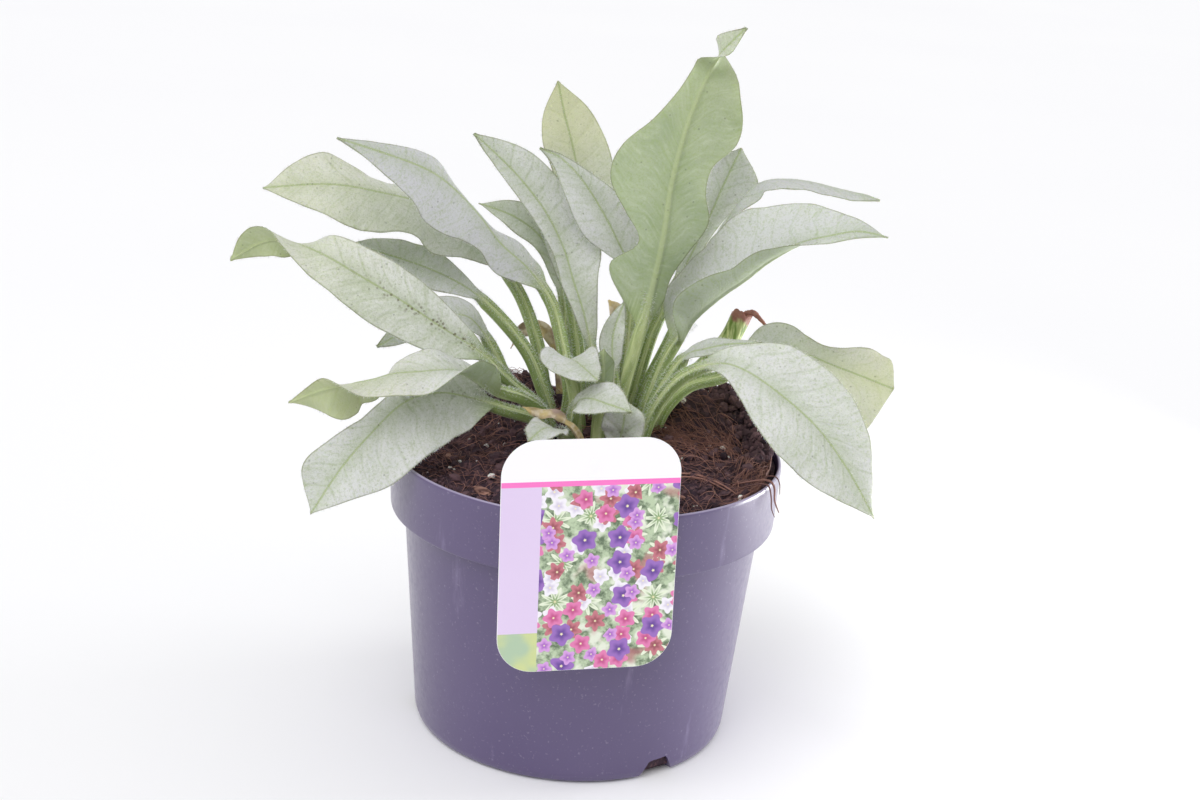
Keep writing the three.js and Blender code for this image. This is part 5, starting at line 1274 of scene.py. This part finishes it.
def build_stalk():
    """The stump of a broken leaf stalk: ribbed, hollow at its torn end, with a shred hanging off."""
    draw = np.random.default_rng(SEEDS["stalk"])
    rings = stem_rings(STALK_LINE, STALK_RADII, draw, **STALK_GRID)
    steps, sides = rings.shape[:2]
    ragged = (1.6 * smooth_noise(np.arange(sides) * 0.7, np.zeros(sides), 5) + 0.8)[:, None]
    ahead = unit(rings[-1].mean(0) - rings[-2].mean(0))
    rings[-1] += ragged * ahead
    rings[-2] += 0.6 * ragged * ahead
    middle = rings[-1].mean(0)
    lip = middle + (rings[-1] - middle) * TORN_END["lip"]
    well = middle + (rings[-1] - middle) * TORN_END["well"] - TORN_END["depth"] * ahead
    share = np.concatenate([np.repeat(np.linspace(0, 1, steps), sides), np.ones(2 * sides)])
    add_stem("cut_stalk_fine", np.concatenate([rings, [lip, well]]), share, "cut_stalk")
    rings = stem_rings(SHRED_LINE, SHRED_RADII, draw, **SHRED_GRID)
    middle = rings.mean(1, keepdims=True)
    rings = middle + (rings - middle) * np.array(SHRED_FLATTEN)
    add_stem("torn_shred", rings, np.ones(rings[..., 0].size))


def add_stem(name, rings, share, *nodes):
    faces = tube_faces(*rings.shape[:2])
    piece = mesh_piece(name, rings.reshape(-1, 3), faces, [stalk_surface()], attributes={"stem_share": share})
    place_piece(piece, "stalk", *nodes)


# Tag

def rounded_rectangle(x, z, width, height, corner, steps=12):
    """Points round a rectangle with round corners, anticlockwise seen from the front."""
    points = []
    for turn, (sx, sz) in enumerate(((1, -1), (1, 1), (-1, 1), (-1, -1))):
        cx, cz = x + sx * (width / 2 - corner), z + sz * (height / 2 - corner)
        for step in range(steps + 1):
            angle = math.radians(90 * (turn - 1) + 90 * step / steps)
            points.append((cx + corner * math.cos(angle), cz + corner * math.sin(angle)))
    return points


def print_surface():
    """A plain flower pattern beside a lilac band, under a bare white head."""
    s = Surface("tag_print", 0.28, Specular_IOR_Level=0.5, Coat_Weight=0.3, Coat_Roughness=0.12)
    x, _, z = s.split(s.attribute("tag_place", "Vector"))
    flat = s.vector(x, z)
    leafy = s.noise(230, 4, flat, 0.65)
    picture = s.mix(s.ramp(leafy, 0.36, 0.6), srgb(92, 112, 84), srgb(188, 206, 172))
    picture = s.mix(s.ramp(s.noise(110, 3, flat), 0.5, 0.62), picture, srgb(228, 234, 216))
    picture = s.mix(s.ramp(s.noise(60, 2, flat), 0.58, 0.68, 0.0, 0.8), picture, srgb(178, 112, 116))
    for flower in PRINT_FLOWERS:
        picture = s.mix(*flower_layer(s, flat, picture, *flower))
    head = TAG_HEIGHT / 2 - TAG_PRINT["head"]
    below_head = s.maths("LESS_THAN", z, head * MM)
    below_line = s.maths("LESS_THAN", z, (head - TAG_PRINT["line"]) * MM)
    in_band = s.maths("LESS_THAN", x, (TAG_PRINT["band"] - TAG_WIDTH / 2) * MM)
    in_base = s.maths("LESS_THAN", z, (TAG_PRINT["base"] - TAG_HEIGHT / 2) * MM)
    band = s.mix(s.noise(20, 1, flat), srgb(228, 210, 240), srgb(222, 202, 236))
    green = s.mix(s.ramp(s.noise(60, 2, flat), 0.4, 0.6), srgb(176, 200, 170), srgb(206, 216, 150))
    panel = s.mix(in_band, picture, s.mix(in_base, band, green))
    panel = s.mix(below_line, srgb(250, 120, 200), panel)
    s.colour(s.mix(below_head, srgb(250, 248, 252), panel))
    s.bump(s.noise(400, 1), 0.02, 0.4)
    return s.material


def flower_layer(s, flat, picture, per_metre, size, shift, petals, cut, petal, heart, rarity):
    """One kind of flower in clumps: where it shows, what it is laid over, and its own colours."""
    moved = s.node("ShaderNodeVectorMath", {0: flat, 1: (shift, 2 * shift, 0)}, operation="ADD").outputs[0]
    cell = s.cells(per_metre, moved, voronoi_dimensions="2D")
    cell.inputs["Randomness"].default_value = 0.85
    place, colour, distance = (cell.outputs[name] for name in ("Position", "Color", "Distance"))
    away = s.node("ShaderNodeVectorMath", {0: moved, 1: place}, operation="SUBTRACT").outputs[0]
    dx, dz, _ = s.split(away)
    pick, spin, _ = s.split(colour)
    angle = s.plus(s.maths("ARCTAN2", dz, dx), s.times(spin, 6.3))
    lobes = s.plus(s.times(s.maths("COSINE", s.times(angle, petals)), cut), 1 - cut)
    reach = s.maths("DIVIDE", distance, s.times(lobes, size))
    limit = s.ramp(s.noise(42, 1, place), 0.36, 0.64, rarity + 0.3, rarity - 0.3)
    shown = s.times(s.ramp(reach, 0.92, 1.0, 1.0, 0.0), s.maths("GREATER_THAN", pick, limit))
    bloom = s.mix(s.ramp(reach, 0.15, 0.75), srgb(*heart), srgb(*petal))
    bloom = s.mix(s.ramp(reach, 0.05, 0.16, 1.0, 0.0), bloom, srgb(246, 236, 190))
    return shown, picture, bloom


def tag_surface():
    s = Surface("tag_plastic", 0.35, Specular_IOR_Level=0.5, Subsurface_Weight=0.1, Subsurface_Scale=0.001)
    s.colour(s.mix(s.noise(60, 3), srgb(246, 245, 249), srgb(252, 251, 253)))
    s.bump(s.noise(600, 2), 0.03)
    return s.material


def ribbon_points(line, half):
    """The outline of a strip of even thickness along a (y, z) line."""
    line = np.array(line, float)
    ahead = unit(np.gradient(line, axis=0))
    side = np.stack([-ahead[:, 1], ahead[:, 0]], axis=1)
    return np.concatenate([line + half * side, (line - half * side)[::-1]])


def turned(points, angle, first, second):
    """The points turned by an angle in degrees from the first axis towards the second."""
    c, s = math.cos(math.radians(angle)), math.sin(math.radians(angle))
    result = np.array(points)
    result[:, first] = c * points[:, first] - s * points[:, second]
    result[:, second] = s * points[:, first] + c * points[:, second]
    return result


def read_points(mesh):
    points = np.empty(len(mesh.vertices) * 3)
    mesh.vertices.foreach_get("co", points)
    return points.reshape(-1, 3) / MM


def write_points(mesh, points):
    mesh.vertices.foreach_set("co", (points * MM).ravel())
    mesh.update()


def tongue_piece():
    """The strip from the plate back over the rim and down, in the tag's own measures."""
    half = TAG_THICKNESS / 2
    rise, tip = TONGUE["rise"] - TAG_CENTRE[2], TONGUE["tip"] - TAG_CENTRE[2]
    corners = [(-half, rise), (TONGUE["reach"], rise), (TONGUE["reach"], tip)]
    strip = ribbon_points(rounded_outline(corners, TONGUE["bend"], 8), half)
    near, far = ([(x, y, z) for y, z in strip] for x in (-TONGUE["width"] / 2, TONGUE["width"] / 2))
    return slab_piece("tongue", near, far, flip=True)


def build_tag():
    """The plate and its tongue are made round the middle of the plate, then stood at the rim."""
    outline = rounded_rectangle(0, 0, TAG_WIDTH, TAG_HEIGHT, TAG_CORNER)
    plate = upright_slab("tag_fine", outline, -TAG_THICKNESS, 0)
    bevel = plate.modifiers.new("edge", "BEVEL")
    bevel.width = TAG_BEVEL * MM
    bevel.segments = 2
    bevel.limit_method = "ANGLE"
    bevel.angle_limit = math.radians(60)
    slot = TAG_SLOT
    opening = rounded_rectangle(slot["x"], slot["z"], slot["width"], slot["height"], slot["width"] / 2 - 0.01)
    apply_boolean(plate, upright_slab("slot_cutter", opening, -3, 3), "DIFFERENCE")
    write_points(plate.data, turned(read_points(plate.data), TAG_ROLL, 2, 0))
    apply_boolean(plate, tongue_piece(), "UNION")
    mesh = plate.data
    set_materials(mesh, tag_surface(), print_surface())
    for face in mesh.polygons:
        printed = face.normal.y < PRINTED_FACE["facing"] and face.area > PRINTED_FACE["least_area"]
        face.material_index = int(printed)
    points = read_points(mesh)
    set_attribute(mesh, "tag_place", turned(points, -TAG_ROLL, 2, 0) * MM)
    write_points(mesh, turned(points, TAG_YAW, 0, 1) + TAG_CENTRE)
    place_piece(plate, "tag", "tag")


# Stage

def add_light(name, kind, strength, place, target, **settings):
    light = bpy.data.lights.new(name, kind)
    light.energy = strength
    for key, value in settings.items():
        setattr(light, key, value)
    lamp = add_object(name, light)
    lamp.location = Vector(place) * MM
    lamp.rotation_euler = (Vector(target) - Vector(place)).to_track_quat("-Z", "Y").to_euler()


def build_camera():
    camera = bpy.data.cameras.new("camera")
    camera.sensor_width = CAMERA["sensor"]
    camera.lens = CAMERA["lens"]
    camera.clip_end = 100
    elevation, roll = math.radians(CAMERA["elevation"]), math.radians(CAMERA["roll"])
    back = Vector((0, -math.cos(elevation), math.sin(elevation)))
    right, up = Vector((1, 0, 0)), Vector((0, math.sin(elevation), math.cos(elevation)))
    side = math.cos(roll) * right + math.sin(roll) * up
    top = -math.sin(roll) * right + math.cos(roll) * up
    place = Matrix((side, top, back)).transposed().to_4x4()
    place.translation = (Vector(CAMERA["target"]) + back * CAMERA["distance"]) * MM
    holder = add_object("camera", camera)
    holder.matrix_world = place
    bpy.context.scene.camera = holder


def build_stage():
    paper = Surface("paper_floor", 0.9)
    paper.colour(paper.mix(paper.noise(1.5, 2), srgb(250, 250, 251), srgb(246, 246, 249)))
    corners = [(x * FLOOR_REACH, y * FLOOR_REACH, 0) for x, y in ((-1, -1), (1, -1), (1, 1), (-1, 1))]
    mesh_piece("floor", corners, [np.array([[0, 1, 2, 3]])], [paper.material])
    world = bpy.data.worlds.new("soft_white")
    world.use_nodes = True
    background = world.node_tree.nodes["Background"].inputs
    background["Color"].default_value = (1, 1, 1, 1)
    background["Strength"].default_value = WORLD_STRENGTH
    bpy.context.scene.world = world
    add_light("sun", "SUN", SUN["strength"], (0, 0, 0), SUN["direction"], angle=math.radians(SUN["spread"]))
    width, height = SIDE_LIGHT["size"]
    add_light("side", "AREA", SIDE_LIGHT["watts"], SIDE_LIGHT["place"], SIDE_LIGHT["target"],
              shape="RECTANGLE", size=width * MM, size_y=height * MM)
    bpy.context.scene.view_settings.view_transform = "Standard"


for build in (build_camera, build_stage, build_leaves, build_pot, build_soil, build_crumbs, build_fibres,
              build_bark, build_stalk, build_tag, build_crown):
    build()
